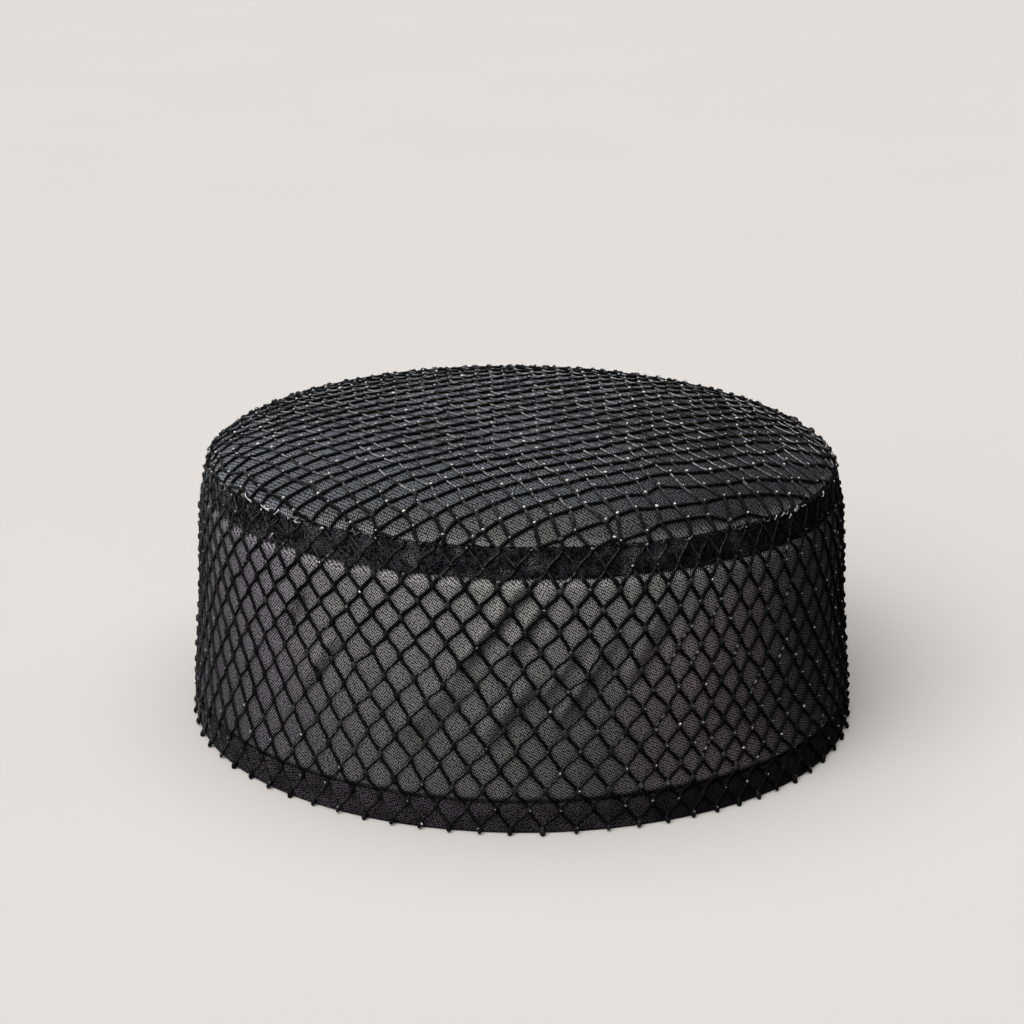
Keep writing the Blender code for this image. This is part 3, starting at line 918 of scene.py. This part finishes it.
def make_crown_cloth():
    """The top: a dome shell with two faces, closed at its middle, its edge turned in at the seam."""
    columns, rings = CROWN_GRID
    angle = TURN * np.arange(columns) / columns
    share = (1.0 - (1.0 - np.linspace(0.02, 1.0, rings)) ** 1.6)[:, None]
    east, north = DOME_WAY * share * np.sin(angle), -DOME_WAY * share * np.cos(angle)
    waves = np.sin(90.0 * east + 1.0) * np.sin(80.0 * north + 0.4)
    uneven = CROWN_WAVES * (1.0 + waves) * (1.0 - share ** 6)
    outer = crown_point(east, north, TAPE_FACE + uneven)
    inner = crown_point(east, north, TAPE_FACE + CLOTH_THICKNESS + uneven)
    inner[..., 2] += CLOTH_THICKNESS * np.linspace(0.0, 1.0, rings)[:, None] ** 60
    middle = np.stack([outer[0].mean(axis=0), inner[0].mean(axis=0)])
    points = np.concatenate([outer.reshape(-1, 3), inner[::-1].reshape(-1, 3), middle])
    index = closed_grid(2 * rings, columns)
    fans = [[index[0, k], index[0, k + 1], len(points) - 2] for k in range(columns)]
    fans += [[index[-1, k], len(points) - 1, index[-1, k + 1]] for k in range(columns)]
    target = np.stack([east, north])
    back = np.linalg.inv(CROWN_LATTICE)
    lattice = found_place(target, crown_place, np.tensordot(back, target, axes=1), back)
    laid = CROWN_WEAVE_SCALE * np.stack([east, np.interp(north, CROWN_WEAVE_NORTH, CROWN_WEAVE_WAY)])
    uv, net = crown_face_places(laid), crown_face_places(lattice)
    shade = crown_painted_shade(east, north, share)
    shade = np.concatenate([shade.ravel(), shade[::-1].ravel(), [CROWN_SHADE, CROWN_SHADE]])
    crown = add_piece("crown_cloth", points, cells(index)[:, FLIPPED], CLOTH, fans, uv, shade, net)
    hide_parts("crown")
    return crown


def rounded_strip(outside, inside, foot, head, corner, steps=4):
    """Section of a flat strip with round corners, as (depth, height) from its outside top down and round."""
    section = []
    centres = ((outside, head, 90.0), (outside, foot, 180.0), (inside, foot, 270.0), (inside, head, 360.0))
    for depth, height, turn in centres:
        middle = depth + corner if depth == outside else depth - corner
        level = height - corner if height == head else height + corner
        for step in range(steps + 1):
            angle = radians(turn + 90.0 * step / steps)
            section.append((middle + corner * cos(angle), level + corner * sin(angle)))
    return np.array(section)


def make_tape():
    """The woven tape: a strip round the top of the wall, its foot a little wavy."""
    section = rounded_strip(TAPE_FACE, TAPE_BACK, TAPE_FOOT, SEAM_HEIGHT, TAPE_CORNER)

    def ripple(angle, height):
        waves = np.sin(23.0 * angle) + np.sin(41.0 * angle + 1.0)
        return TAPE_RIPPLE * fade(height, TAPE_FOOT + 0.002, TAPE_FOOT) * waves

    # Painted light and shade: the tape paler to the left, darker to the right
    def shade(angle, height):
        return 0.45 + 0.50 * np.cos(angle + radians(75.0)) + 0.0 * height

    tape = add_ring("tape_band", section, TAPE, shade, ripple)
    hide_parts("seam_tape")
    return tape


def make_hem():
    """The binding: an outer and an inner leg, joined by a flat foot with rounded edges, in one section."""
    inner_face = HEM_INSIDE - (TAPE_BACK - TAPE_FACE)
    inner_head = HEM_HEAD - 0.0006
    foot = TAPE_BACK - TAPE_FACE
    turn = np.linspace(0.0, 0.5 * pi, 5)
    corner = 0.0007
    outer_leg = [(TAPE_FACE + 0.0003, HEM_HEAD), (TAPE_FACE, HEM_HEAD - 0.0004), (TAPE_FACE, 0.5 * HEM_HEAD)]
    outer_turn = [(TAPE_FACE + corner * (1.0 - cos(a)), corner * (1.0 - sin(a))) for a in turn]
    inner_turn = [(HEM_INSIDE - corner * (1.0 - sin(a)), corner * (1.0 - cos(a))) for a in turn]
    inner_leg = [(HEM_INSIDE, inner_head - 0.0004), (HEM_INSIDE - 0.0003, inner_head),
                 (inner_face, inner_head), (inner_face, foot), (TAPE_BACK, foot), (TAPE_BACK, HEM_HEAD)]
    section = np.array(outer_leg + outer_turn + inner_turn + inner_leg)

    # Painted shade: the binding darker to the right
    def shade(angle, height):
        return 1.0 - 0.75 * np.clip(2.0 * right_share(angle + radians(16.0)), 0.0, 1.0) + 0.0 * height

    hem = add_ring("hem_binding", section, HEM, shade)
    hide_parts("hem_band")
    return hem


# Net over the side

def side_knots():
    """Angle shift and height of the net's knots on a grid of half columns and half rows, row 0 at the seam.

    Rows sink to the right over the front by drift * sin(angle) * sin(pi * share of the height), lower knots
    stand a little to the left at the front, columns crowd together right of the front, and each knot wanders.
    """
    rows = np.arange(NET_HALF_ROWS + 1)
    even = np.arange(2 * NET_COLUMNS)[:, None] * pi / NET_COLUMNS + 0.0 * rows
    turned = from_front(even)
    shift = SHEAR_PER_HALF_ROW * bell(turned, 4.0, 22.0) * (rows - 0.5 * NET_HALF_ROWS)
    shift = shift - NET_CROWDING * fade_deg(turned, 12.0, 62.0) * fade_deg(turned, 175.0, 75.0)
    wander = random.normal(0.0, NET_WANDER, (2,) + even.shape)
    bow = np.sin(pi * rows / NET_HALF_ROWS)
    held = bow * 0.7 + 0.3
    pitch = (SEAM_HEIGHT - NET_FOOT) / NET_HALF_ROWS
    inner = (rows > 0) & (rows < NET_HALF_ROWS)
    height = SEAM_HEIGHT - rows * pitch - ROW_DRIFT * np.sin(even) * bow + wander[1] * held * inner
    return shift + wander[0] * held / RIM_RADIUS, height


KNOT_SHIFT, KNOT_HEIGHT = side_knots()


def net_place(half_column, row):
    """Angle and height of a place in the side net's lattice, interpolated between its knots."""
    row = np.clip(row, 0.0, NET_HALF_ROWS - 0.001)
    angle = half_column * pi / NET_COLUMNS + interpolated(KNOT_SHIFT, half_column, row)
    return angle, interpolated(KNOT_HEIGHT, half_column, row)


def thin_share(angle, height):
    """1 where the rising strands are thin: low on the front and left of the side."""
    turned = from_front(angle)
    front = fade_deg(turned, -75.0, -45.0) * fade_deg(turned, 34.0, 10.0)
    return front * fade(height, SEAM_HEIGHT - 0.014, SEAM_HEIGHT - 0.036)


def painted_side_light(angle):
    """1 at the far left, where painted light makes the net paler."""
    turned = from_front(angle)
    return fade_deg(turned, -48.0, -78.0) * fade_deg(turned, -150.0, -120.0)


def over_tape(height):
    """1 where the net lies on the tape."""
    return fade(height, TAPE_FOOT - 0.001, TAPE_FOOT + 0.001)


def lying_depth(angle, height):
    """Depth of the middle of a strand that lies on the wall, tape or hem, lifted by the crests of folds."""
    shown = wall_share(height, 0.004)
    crest = np.clip(-fold_depth(angle, height), 0.0, None)
    return STRAND_DEPTH - shown * (LIFT_ON_WALL + crest)


def wavering(strands, count):
    """A slight wander along each strand, from -1 to 1: two sines of random phase."""
    place = np.linspace(0.0, 1.0, count)[None, :]
    phase = TURN * random.random((2, strands, 1))
    turns = TURN * random.uniform(9.0, 17.0, (2, strands, 1))
    return 0.6 * np.sin(turns[0] * place + phase[0]) + 0.4 * np.sin(1.7 * turns[1] * place + phase[1])


def make_side_strands(name, family):
    """All strands of one family.

    From knot to knot the height runs evenly and the angle as t - a * sin(2 * pi * t) / (2 * pi), so that a
    strand leaves its knots more upright.
    """
    falling = family["direction"] > 0
    rows = np.arange(NET_HALF_ROWS + 1)
    half_columns = 2 * np.arange(NET_COLUMNS)[:, None] + family["direction"] * rows
    knots = half_columns % (2 * NET_COLUMNS), rows
    knot_angle = half_columns * pi / NET_COLUMNS + KNOT_SHIFT[knots]
    knot_height = KNOT_HEIGHT[knots]
    place = np.linspace(0.0, NET_HALF_ROWS, NET_HALF_ROWS * STEPS_PER_HALF_ROW + 1)
    row = np.minimum(place.astype(int), NET_HALF_ROWS - 1)
    t = place - row
    share = t - family["straighten"] * np.sin(TURN * t) / TURN
    angle = knot_angle[:, row] + (knot_angle[:, row + 1] - knot_angle[:, row]) * share
    height = knot_height[:, row] + (knot_height[:, row + 1] - knot_height[:, row]) * t
    near_knot = np.cos(pi * t) ** 2
    level = random.normal(1.0, 0.06, (NET_COLUMNS, 1))
    angle = angle + SIDE_STRAND_WANDER * wavering(*angle.shape) * (1.0 - near_knot) / RIM_RADIUS
    level = level * (1.0 + 0.10 * wavering(*angle.shape)) * random.normal(1.0, 0.06, angle.shape)
    level = level * (1.0 - 0.28 * right_share(angle))
    on_tape = over_tape(height)
    low = fade(height, SEAM_HEIGHT - 0.014, SEAM_HEIGHT - 0.044)
    thin = low if falling else thin_share(angle, height)
    radius = level * (family["radius"] - family["thinner"] * thin) * (1.0 + family["at_knot"] * near_knot)
    radius = radius * (1.0 - 0.40 * on_tape)
    lift = 0.0 if falling else 0.00010 - 0.00022 * thin * (1.0 - near_knot)
    centres = side_point(angle, height, lying_depth(angle, height) - lift)
    # Painted highlight: strands paler where they lie on the tape, less so to the right by painted shade;
    # painted light at the far left and over the hem at the left
    pale = 0.110 * on_tape * level * (1.0 - 0.75 * right_share(angle))
    pale = pale + 0.008 * near_knot + 0.09 * painted_side_light(angle)
    pale = pale + 0.06 * fade(height, HEM_HEAD, HEM_HEAD - 0.002) * fade(np.sin(angle), 0.0, -0.5)
    if not falling:
        # Painted highlights: pale dots along some rising strands, and more painted light at the far left
        dotted_highlight = random.random((NET_COLUMNS, NET_HALF_ROWS)) < 0.07
        dotted_highlight = dotted_highlight[:, row] * (np.arange(len(place)) % 3 == 0)
        pale = pale + 0.05 * painted_side_light(angle) + 0.6 * dotted_highlight * (1.0 - near_knot)
    strands = add_tubes(name, centres, side_normal(angle), radius, family["sides"], CORD, pale)
    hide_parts("side_net")


def knot_places():
    """Angle, height and row of every side knot: half column and half row are both even or both odd."""
    half_columns, rows = np.meshgrid(np.arange(2 * NET_COLUMNS), np.arange(NET_HALF_ROWS + 1), indexing="ij")
    there = (half_columns + rows) % 2 == 0
    angle = half_columns * pi / NET_COLUMNS + KNOT_SHIFT
    return angle[there], KNOT_HEIGHT[there], rows[there]


def make_side_knots():
    """A knot at every crossing: an upright lump with a drawn-in waist, leaning with the falling strand.

    At the rim the lumps point down and, at the front and back, outwards.
    """
    angle, height, row = knot_places()
    count = len(angle)
    turned = from_front(angle)
    at_rim = row == NET_HALF_ROWS
    at_side = np.abs(np.sin(angle))
    depth = lying_depth(angle, height) - 0.00018 + random.normal(0.0, 0.00006, count)
    depth = depth - (0.0007 - 0.0006 * at_side) * at_rim
    centres = side_point(angle, height, depth)
    sideways = np.stack([np.cos(angle), np.sin(angle), 0.0 * angle], axis=-1)
    lean = random.normal(0.25, 0.18, count)[:, None]
    upright = np.array([0.0, 0.0, 1.0]) - lean * sideways
    scale = random.normal(1.0, 0.10, count)[:, None] * (1.0 - 0.25 * over_tape(height))[:, None]
    sizes = scale * np.where(at_rim[:, None], RIM_KNOT, SIDE_KNOT)
    outward = (0.8 - 0.7 * at_side + random.normal(0.0, 0.15, count))[at_rim, None]
    upright[at_rim] = outward * side_normal(angle[at_rim]) - [0.0, 0.0, 0.6]
    upright[at_rim] += random.normal(0.0, 0.15, (count, 1))[at_rim] * sideways[at_rim]
    right = fade_deg(turned, -8.0, 12.0) * fade_deg(turned, 180.0, 140.0)
    pale = 0.015 + 0.11 * random.random(count) ** 2 + 0.03 * right * random.random(count)
    # Painted light at the far left and painted shade to the right
    pale = (pale + 0.08 * painted_side_light(angle)) * (1.0 - 0.75 * right_share(angle))
    pale = pale * (1.0 - 0.65 * over_tape(height))
    pale = pale * (1.0 - 0.65 * fade(height, HEM_HEAD + 0.002, HEM_HEAD - 0.001))
    knots = add_lumps("side_knots", centres, upright, side_normal(angle), sizes, CORD, 5, 8, 0.16, pale)
    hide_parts("side_net")


# Net over the crown

def crown_place(main, cross):
    """East and north of a place in the crown's lattice: main counts main strands, cross counts cross strands.

    place = main * step along a cross strand + cross * step along a main strand + the knots' wander, which
    is interpolated between knots. Towards the front the lattice is then sheared and narrowed, and widened
    again at its edge.
    """
    wander = interpolated(CROWN_WANDER, main, cross)
    east, north = np.tensordot(CROWN_LATTICE, np.stack([main, cross]), axes=1)
    looser = 0.9 + 1.3 * fade(np.hypot(east, north), 0.055, 0.090)
    east = east + looser * wander[0]
    north = north + looser * wander[1]
    edge = fade(np.hypot(east, north), 0.055, 0.095) * fade(north, -0.010, -0.060)
    ahead = -north - 0.045
    ahead = 0.5 * (ahead + np.hypot(ahead, 0.012))
    east = (east - 0.35 * ahead) * (1.0 - 0.12 * fade(ahead, 0.0, 0.045))
    return east * (1.0 + 0.11 * edge), north * (1.0 + 0.11 * edge)


CROWN_WANDER = random.normal(0.0, CROWN_NET_WANDER, (2, WANDER_TABLE, WANDER_TABLE))
CROWN_LATTICE = np.array([
    [family["step"] * way(radians(family["angle_deg"])) for family in (CROWN_CROSS, CROWN_MAIN)]
    for way in (cos, sin)
])


def on_strand(family, number, t):
    """East and north of the place t, counted in knots, on a numbered strand of a family."""
    return crown_place(number, t) if family is CROWN_MAIN else crown_place(t, number)


def crown_strand_places(family):
    """Places along every strand of a family on the crown, counted in knots, and their east and north."""
    numbers = np.arange(-STRAND_REACH, STRAND_REACH + 1)[:, None] + 0.0
    t = np.linspace(-KNOT_REACH, KNOT_REACH, 3000)[None, :] + 0.0 * numbers
    inside = np.hypot(*on_strand(family, numbers + 0.0 * t, t)) < DOME_WAY
    first = inside.argmax(axis=1)
    last = inside.shape[1] - 1 - inside[:, ::-1].argmax(axis=1)
    ends = np.stack([np.take_along_axis(t, k[:, None], axis=1)[:, 0] for k in (first, last)], axis=1)
    kept = (ends[:, 1] - ends[:, 0]) * family["step"] > SHORTEST_STRAND
    kept = kept & inside.any(axis=1)
    steps = np.linspace(0.0, 1.0, CROWN_STRAND_POINTS)[None, :]
    t = ends[kept, :1] + (ends[kept, 1:] - ends[kept, :1]) * steps
    return t, *on_strand(family, numbers[kept] + 0.0 * t, t)


def make_crown_strands(name, family):
    """All strands of one direction over the dome: thick dark main ones, thin pale cross ones."""
    t, east, north = crown_strand_places(family)
    near_knot = np.cos(pi * t) ** 2
    level = random.normal(1.0, 0.06, (len(t), 1)) * (1.0 + 0.12 * wavering(*t.shape))
    level = level * random.normal(1.0, 0.14, t.shape)
    edge = fade(np.hypot(east, north), 0.060, 0.085)
    front = edge * fade(north, -0.01, -0.05)
    if family is CROWN_MAIN:
        radius = level * (family["radius"] - 0.00011 * edge * (1.0 - front)) * (1.0 + 0.20 * near_knot)
        depth = 0.00090 - 0.00008 * front + 0.0 * t
        pale = 0.004 + 0.0 * t
    else:
        radius = level * (family["radius"] + 0.00023 * front) * (1.0 + 0.20 * near_knot)
        depth = 0.00088 + 0.00022 * (1.0 - near_knot) * (1.0 - 0.5 * front)
        bright = random.random((len(t), WANDER_TABLE)) ** 1.5
        between = (np.floor(t).astype(int) + WANDER_TABLE // 2) % WANDER_TABLE
        pale = (0.10 + 0.90 * np.take_along_axis(bright, between, axis=1)) * (1.0 - 0.98 * front)
    east = east + CROWN_STRAND_WANDER * wavering(*t.shape) * (1.0 - near_knot)
    centres = crown_point(east, north, depth)
    strands = add_tubes(name, centres, crown_normal(east, north), radius, CROWN_STRAND_SIDES, CORD, pale)
    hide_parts("crown_net")


def crown_knot_places():
    """East and north of the crown's knots that lie clear of the seam."""
    mains = np.arange(-STRAND_REACH, STRAND_REACH + 1) + 0.0
    crosses = np.arange(-KNOT_REACH, KNOT_REACH + 1) + 0.0
    main, cross = np.meshgrid(mains, crosses, indexing="ij")
    east, north = crown_place(main, cross)
    inside = np.hypot(east, north) < DOME_WAY - 0.0012
    return east[inside], north[inside]


def make_crown_knots():
    """A knot at every crossing of the crown, lengthwise with its main strand, some at the right large."""
    east, north = crown_knot_places()
    count = len(east)
    depth, step = 0.00066, 0.0005
    centres = crown_point(east, north, depth)
    along = radians(CROWN_MAIN["angle_deg"])
    lengthwise = crown_point(east + step * cos(along), north + step * sin(along), depth) - centres
    edge = fade(np.hypot(east, north), 0.070, 0.090)
    sizes = random.normal(1.0, 0.12, count)[:, None] * CROWN_KNOT
    large = edge * bell(np.arctan2(east, -north), 88.0, 26.0) * (random.random(count) < 0.5)
    sizes = sizes * (1.0 + 0.08 * edge + 0.55 * large)[:, None]
    pale = 0.02 + 0.20 * random.random(count) ** 2
    normals = crown_normal(east, north)
    knots = add_lumps("crown_knots", centres, lengthwise, normals, sizes, CORD, 5, 8, 0.12, pale)
    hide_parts("crown_net")


def make_knot_glints():
    """Painted glints: small pale lumps on the knots, most on the crown and at the cap's left and right."""
    angle, height, row = knot_places()
    chance = 0.28 + 0.55 * fade(np.abs(np.sin(angle)), 0.62, 0.92) + 0.30 * fade(np.sin(angle), 0.0, 0.30)
    chance = chance * (1.0 - 0.7 * over_tape(height)) + 0.35 * (row == 0)
    chosen = random.random(len(angle)) < chance
    angle, height, row = angle[chosen], height[chosen], row[chosen]
    shift = random.normal(0.0, 0.0003, (2, len(angle)))
    below = row > 0
    rise = (np.abs(shift[1]) + 0.0002) * below
    depth = lying_depth(angle, height) - 0.0006 - 0.00025 * below
    side = side_point(angle + shift[0] / RIM_RADIUS, height + rise, depth)
    side_pale = 0.08 + 0.92 * random.random(len(angle)) ** (4.0 - 2.8 * (row == 0))
    east, north = crown_knot_places()
    chosen = random.random(len(east)) < 0.92
    east, north = east[chosen], north[chosen]
    top = crown_point(east, north, 0.00010)
    top_pale = 0.30 + 0.70 * random.random(len(east))
    centres = np.concatenate([side, top])
    normals = np.concatenate([side_normal(angle), crown_normal(east, north)])
    count = len(centres)
    lengthwise = np.cross(normals, random.normal(0.0, 1.0, (count, 3)))
    swell = np.concatenate([1.0 + 0.5 * (row == 0), np.full(len(east), 1.1)])
    sizes = (swell * (0.00017 + 0.00022 * random.random(count) ** 2))[:, None] * GLINT_SHAPE
    pale = np.concatenate([side_pale, top_pale])
    glints = add_lumps("knot_glints", centres, lengthwise, normals, sizes, PALE_THREAD_AND_GLINTS, 3, 6, 0.0, pale)


# Seam stitches and loose threads

def between_random(place, count):
    """Random values at even places, straight between them."""
    return np.interp(place * count, np.arange(count + 1), random.random(count + 1))


def make_seam_stitches():
    """A whipped thread along the seam: a coil of small radius, carried round it, paler to left and right."""
    place = np.linspace(0.0, 1.0, STITCH_TURNS * 12 + 1)[None, :]
    angle = TURN * place
    bunched = between_random(place, 240)
    coil = TURN * STITCH_TURNS * place + 4.0 * bunched
    uneven = 0.55 + 0.75 * bunched
    height = SEAM_HEIGHT + 0.00015 + STITCH_REACH * uneven * np.sin(coil)
    calm = 1.0 - 0.6 * fade(np.cos(angle), 0.9, 0.4)
    depth = STRAND_DEPTH - 0.0006 * uneven * np.cos(coil) * calm
    centres = side_point(angle, height, depth)
    radius = STITCH_RADIUS * (1.0 + 0.2 * np.sin(23.0 * angle))
    spots = fade(between_random(place, 150), 0.62, 0.84)
    # Painted highlight: the pale spots much paler to the left and right
    pale = 0.02 + 0.30 * spots + 0.80 * fade(np.abs(np.sin(angle)), 0.45, 0.85) * spots ** 2
    stitches = add_tubes("seam_stitches", centres, side_normal(angle), radius, 5, CORD, pale)


# Loose pale thread ends on the seam at the left and right front. angle: from the front to the right; rise:
# over the seam; length, lean and curls of the end; size: of its curls
THREAD_ENDS = table(
    "angle_deg rise length lean_deg curls size",
    (-54.0, 0.0016, 0.0044, 125.0, 0.55, 0.0009),
    (-48.6, 0.0014, 0.0034, 110.0, 0.40, 0.0013),
    (-48.2, 0.0010, 0.0026, 130.0, 0.55, 0.0007),
    (-45.6, 0.0010, 0.0014, 80.0, 0.5, 0.0012),
    (-46.0, -0.0052, 0.0020, 70.0, 0.7, 0.0009),
    (-40.5, 0.0003, 0.0012, 110.0, 0.3, 0.0004),
    (-35.0, 0.0002, 0.0010, 60.0, 0.3, 0.0004),
    (47.5, 0.0006, 0.0014, 60.0, 0.3, 0.0004),
    (51.4, -0.0004, 0.0012, 50.0, 0.3, 0.0004),
    (53.6, 0.0012, 0.0016, 80.0, 0.25, 0.0009),
    (56.2, 0.0009, 0.0014, 100.0, 0.25, 0.0008),
    (64.4, 0.0006, 0.0016, 60.0, 0.3, 0.0006),
)


def make_thread_ends():
    """Curled ends: a straight run along the lean plus a coil of the row's size, carried just over the net."""
    rows = {key: np.array([row[key] for row in THREAD_ENDS])[:, None] for key in THREAD_ENDS[0]}
    t = np.linspace(0.0, 1.0, 40)[None, :]
    lean = np.radians(rows["lean_deg"])
    coil = TURN * rows["curls"] * t
    along = rows["length"] * (t - 0.5) + rows["size"] * 0.5 * np.sin(coil)
    aside = rows["size"] * 0.5 * np.cos(coil)
    angle = np.radians(rows["angle_deg"]) + (along * np.sin(lean) + aside * np.cos(lean)) / SEAM_RADIUS
    height = SEAM_HEIGHT + rows["rise"] + along * np.cos(lean) - aside * np.sin(lean)
    depth = -0.00030 + 0.35 * np.maximum(height - SEAM_HEIGHT, 0.0) - 0.00020 * np.sin(1.5 * coil)
    centres = side_point(angle, height, depth)
    radius = THREAD_RADIUS * (1.0 - 0.5 * (2.0 * t - 1.0) ** 4) + 0.0 * angle
    # Painted shade: the ends on the right darker
    pale = 0.60 + 0.25 * np.cos(9.0 * t) - 0.35 * (angle > 0.0)
    ends = add_tubes("thread_ends", centres, side_normal(angle), radius, 6, PALE_THREAD_AND_GLINTS, pale)


def make_tape_fuzz():
    """Fine hairs that lie crosswise on the tape: short arcs in all directions, paler at the left."""
    row = (FUZZ_COUNT, 1)
    angle = random.uniform(0.0, TURN, row)
    height = random.uniform(TAPE_FOOT + 0.0006, SEAM_HEIGHT - 0.0006, row)
    lean = random.uniform(-1.2, 1.2, row)
    length = random.uniform(*FUZZ_LENGTHS, row)
    t = np.linspace(-0.5, 0.5, 7)[None, :]
    heading = lean + random.normal(0.0, 0.7, row) * t
    height = np.clip(height + length * t * np.cos(heading), TAPE_FOOT + 0.0002, SEAM_HEIGHT - 0.0002)
    depth = TAPE_FACE - 0.00008 - 0.00045 * random.random(row) * (1.0 - 4.0 * t ** 2)
    angle = angle + length * t * np.sin(heading) / SEAM_RADIUS
    centres = side_point(angle, height, depth)
    # Painted light: the hairs paler at the left
    left = fade(np.sin(angle), 0.1, -0.8)
    pale = 0.01 + 0.08 * random.random(row) + 0.42 * left * random.random(row) ** 2
    radius = np.full(angle.shape, FUZZ_RADIUS)
    fuzz = add_tubes("tape_fuzz", centres, side_normal(angle), radius, 4, CORD, pale)


# Stage, light and camera

def make_floor():
    """A wide plain floor just under the hem."""
    mesh = bpy.data.meshes.new("floor")
    reach, level = 12.0, -0.00005
    corners = [(x * reach, y * reach, level) for x, y in ((-1, -1), (1, -1), (1, 1), (-1, 1))]
    mesh.from_pydata(corners, [], [(0, 1, 2, 3)])
    mesh.materials.append(make_floor_material())
    floor = bpy.data.objects.new("floor", mesh)
    bpy.context.scene.collection.objects.link(floor)
    floor.visible_diffuse = False
    floor.visible_glossy = False


def add_sun(name, angle_deg, elevation_deg, softness_deg, strength, colour):
    """A soft light from far away, from an angle round the cap and an elevation."""
    light = bpy.data.lights.new(name, "SUN")
    light.angle = radians(softness_deg)
    light.energy = strength
    light.color = colour
    lamp = bpy.data.objects.new(name, light)
    lamp.rotation_euler = (radians(90.0 - elevation_deg), 0.0, radians(angle_deg))
    bpy.context.scene.collection.objects.link(lamp)


def make_lights():
    """A soft key from the left front, a wide light overhead, and a pale surround that lights little."""
    for light in LIGHTS:
        add_sun(**light)
    world = bpy.data.worlds.new("surround")
    world.use_nodes = True
    tree = world.node_tree
    background = tree.nodes["Background"]
    background.inputs["Color"].default_value = (0.90, 0.88, 0.87, 1.0)
    seen = tree.nodes.new("ShaderNodeLightPath").outputs["Is Camera Ray"]
    join(tree, ramp(tree, seen, 0.0, 1.0, 0.08, 0.90), background.inputs["Strength"])
    bpy.context.scene.world = world
    view = bpy.context.scene.view_settings
    view.view_transform = "Standard"
    view.look = "None"


def make_camera():
    """The camera at the photo's place and angle."""
    camera = bpy.data.cameras.new("camera")
    camera.lens = CAMERA_LENS
    camera.sensor_width = SENSOR
    camera.sensor_fit = "HORIZONTAL"
    camera.clip_start = 0.01
    holder = bpy.data.objects.new("camera", camera)
    holder.location = CAMERA_PLACE
    holder.rotation_euler = (pi / 2.0 - CAMERA_PITCH, 0.0, CAMERA_YAW)
    bpy.context.scene.collection.objects.link(holder)
    bpy.context.scene.camera = holder


def main():
    """Make every piece, the floor, the lights and the camera."""
    make_camera()
    side_cloth = make_side_cloth()
    crown_cloth = make_crown_cloth()
    tape = make_tape()
    hem = make_hem()
    make_side_strands("side_strands_falling", FALLING)
    make_side_strands("side_strands_rising", RISING)
    make_side_knots()
    make_crown_strands("crown_strands_main", CROWN_MAIN)
    make_crown_strands("crown_strands_cross", CROWN_CROSS)
    make_crown_knots()
    make_knot_glints()
    make_seam_stitches()
    make_thread_ends()
    make_tape_fuzz()
    make_floor()
    make_lights()
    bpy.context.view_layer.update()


main()
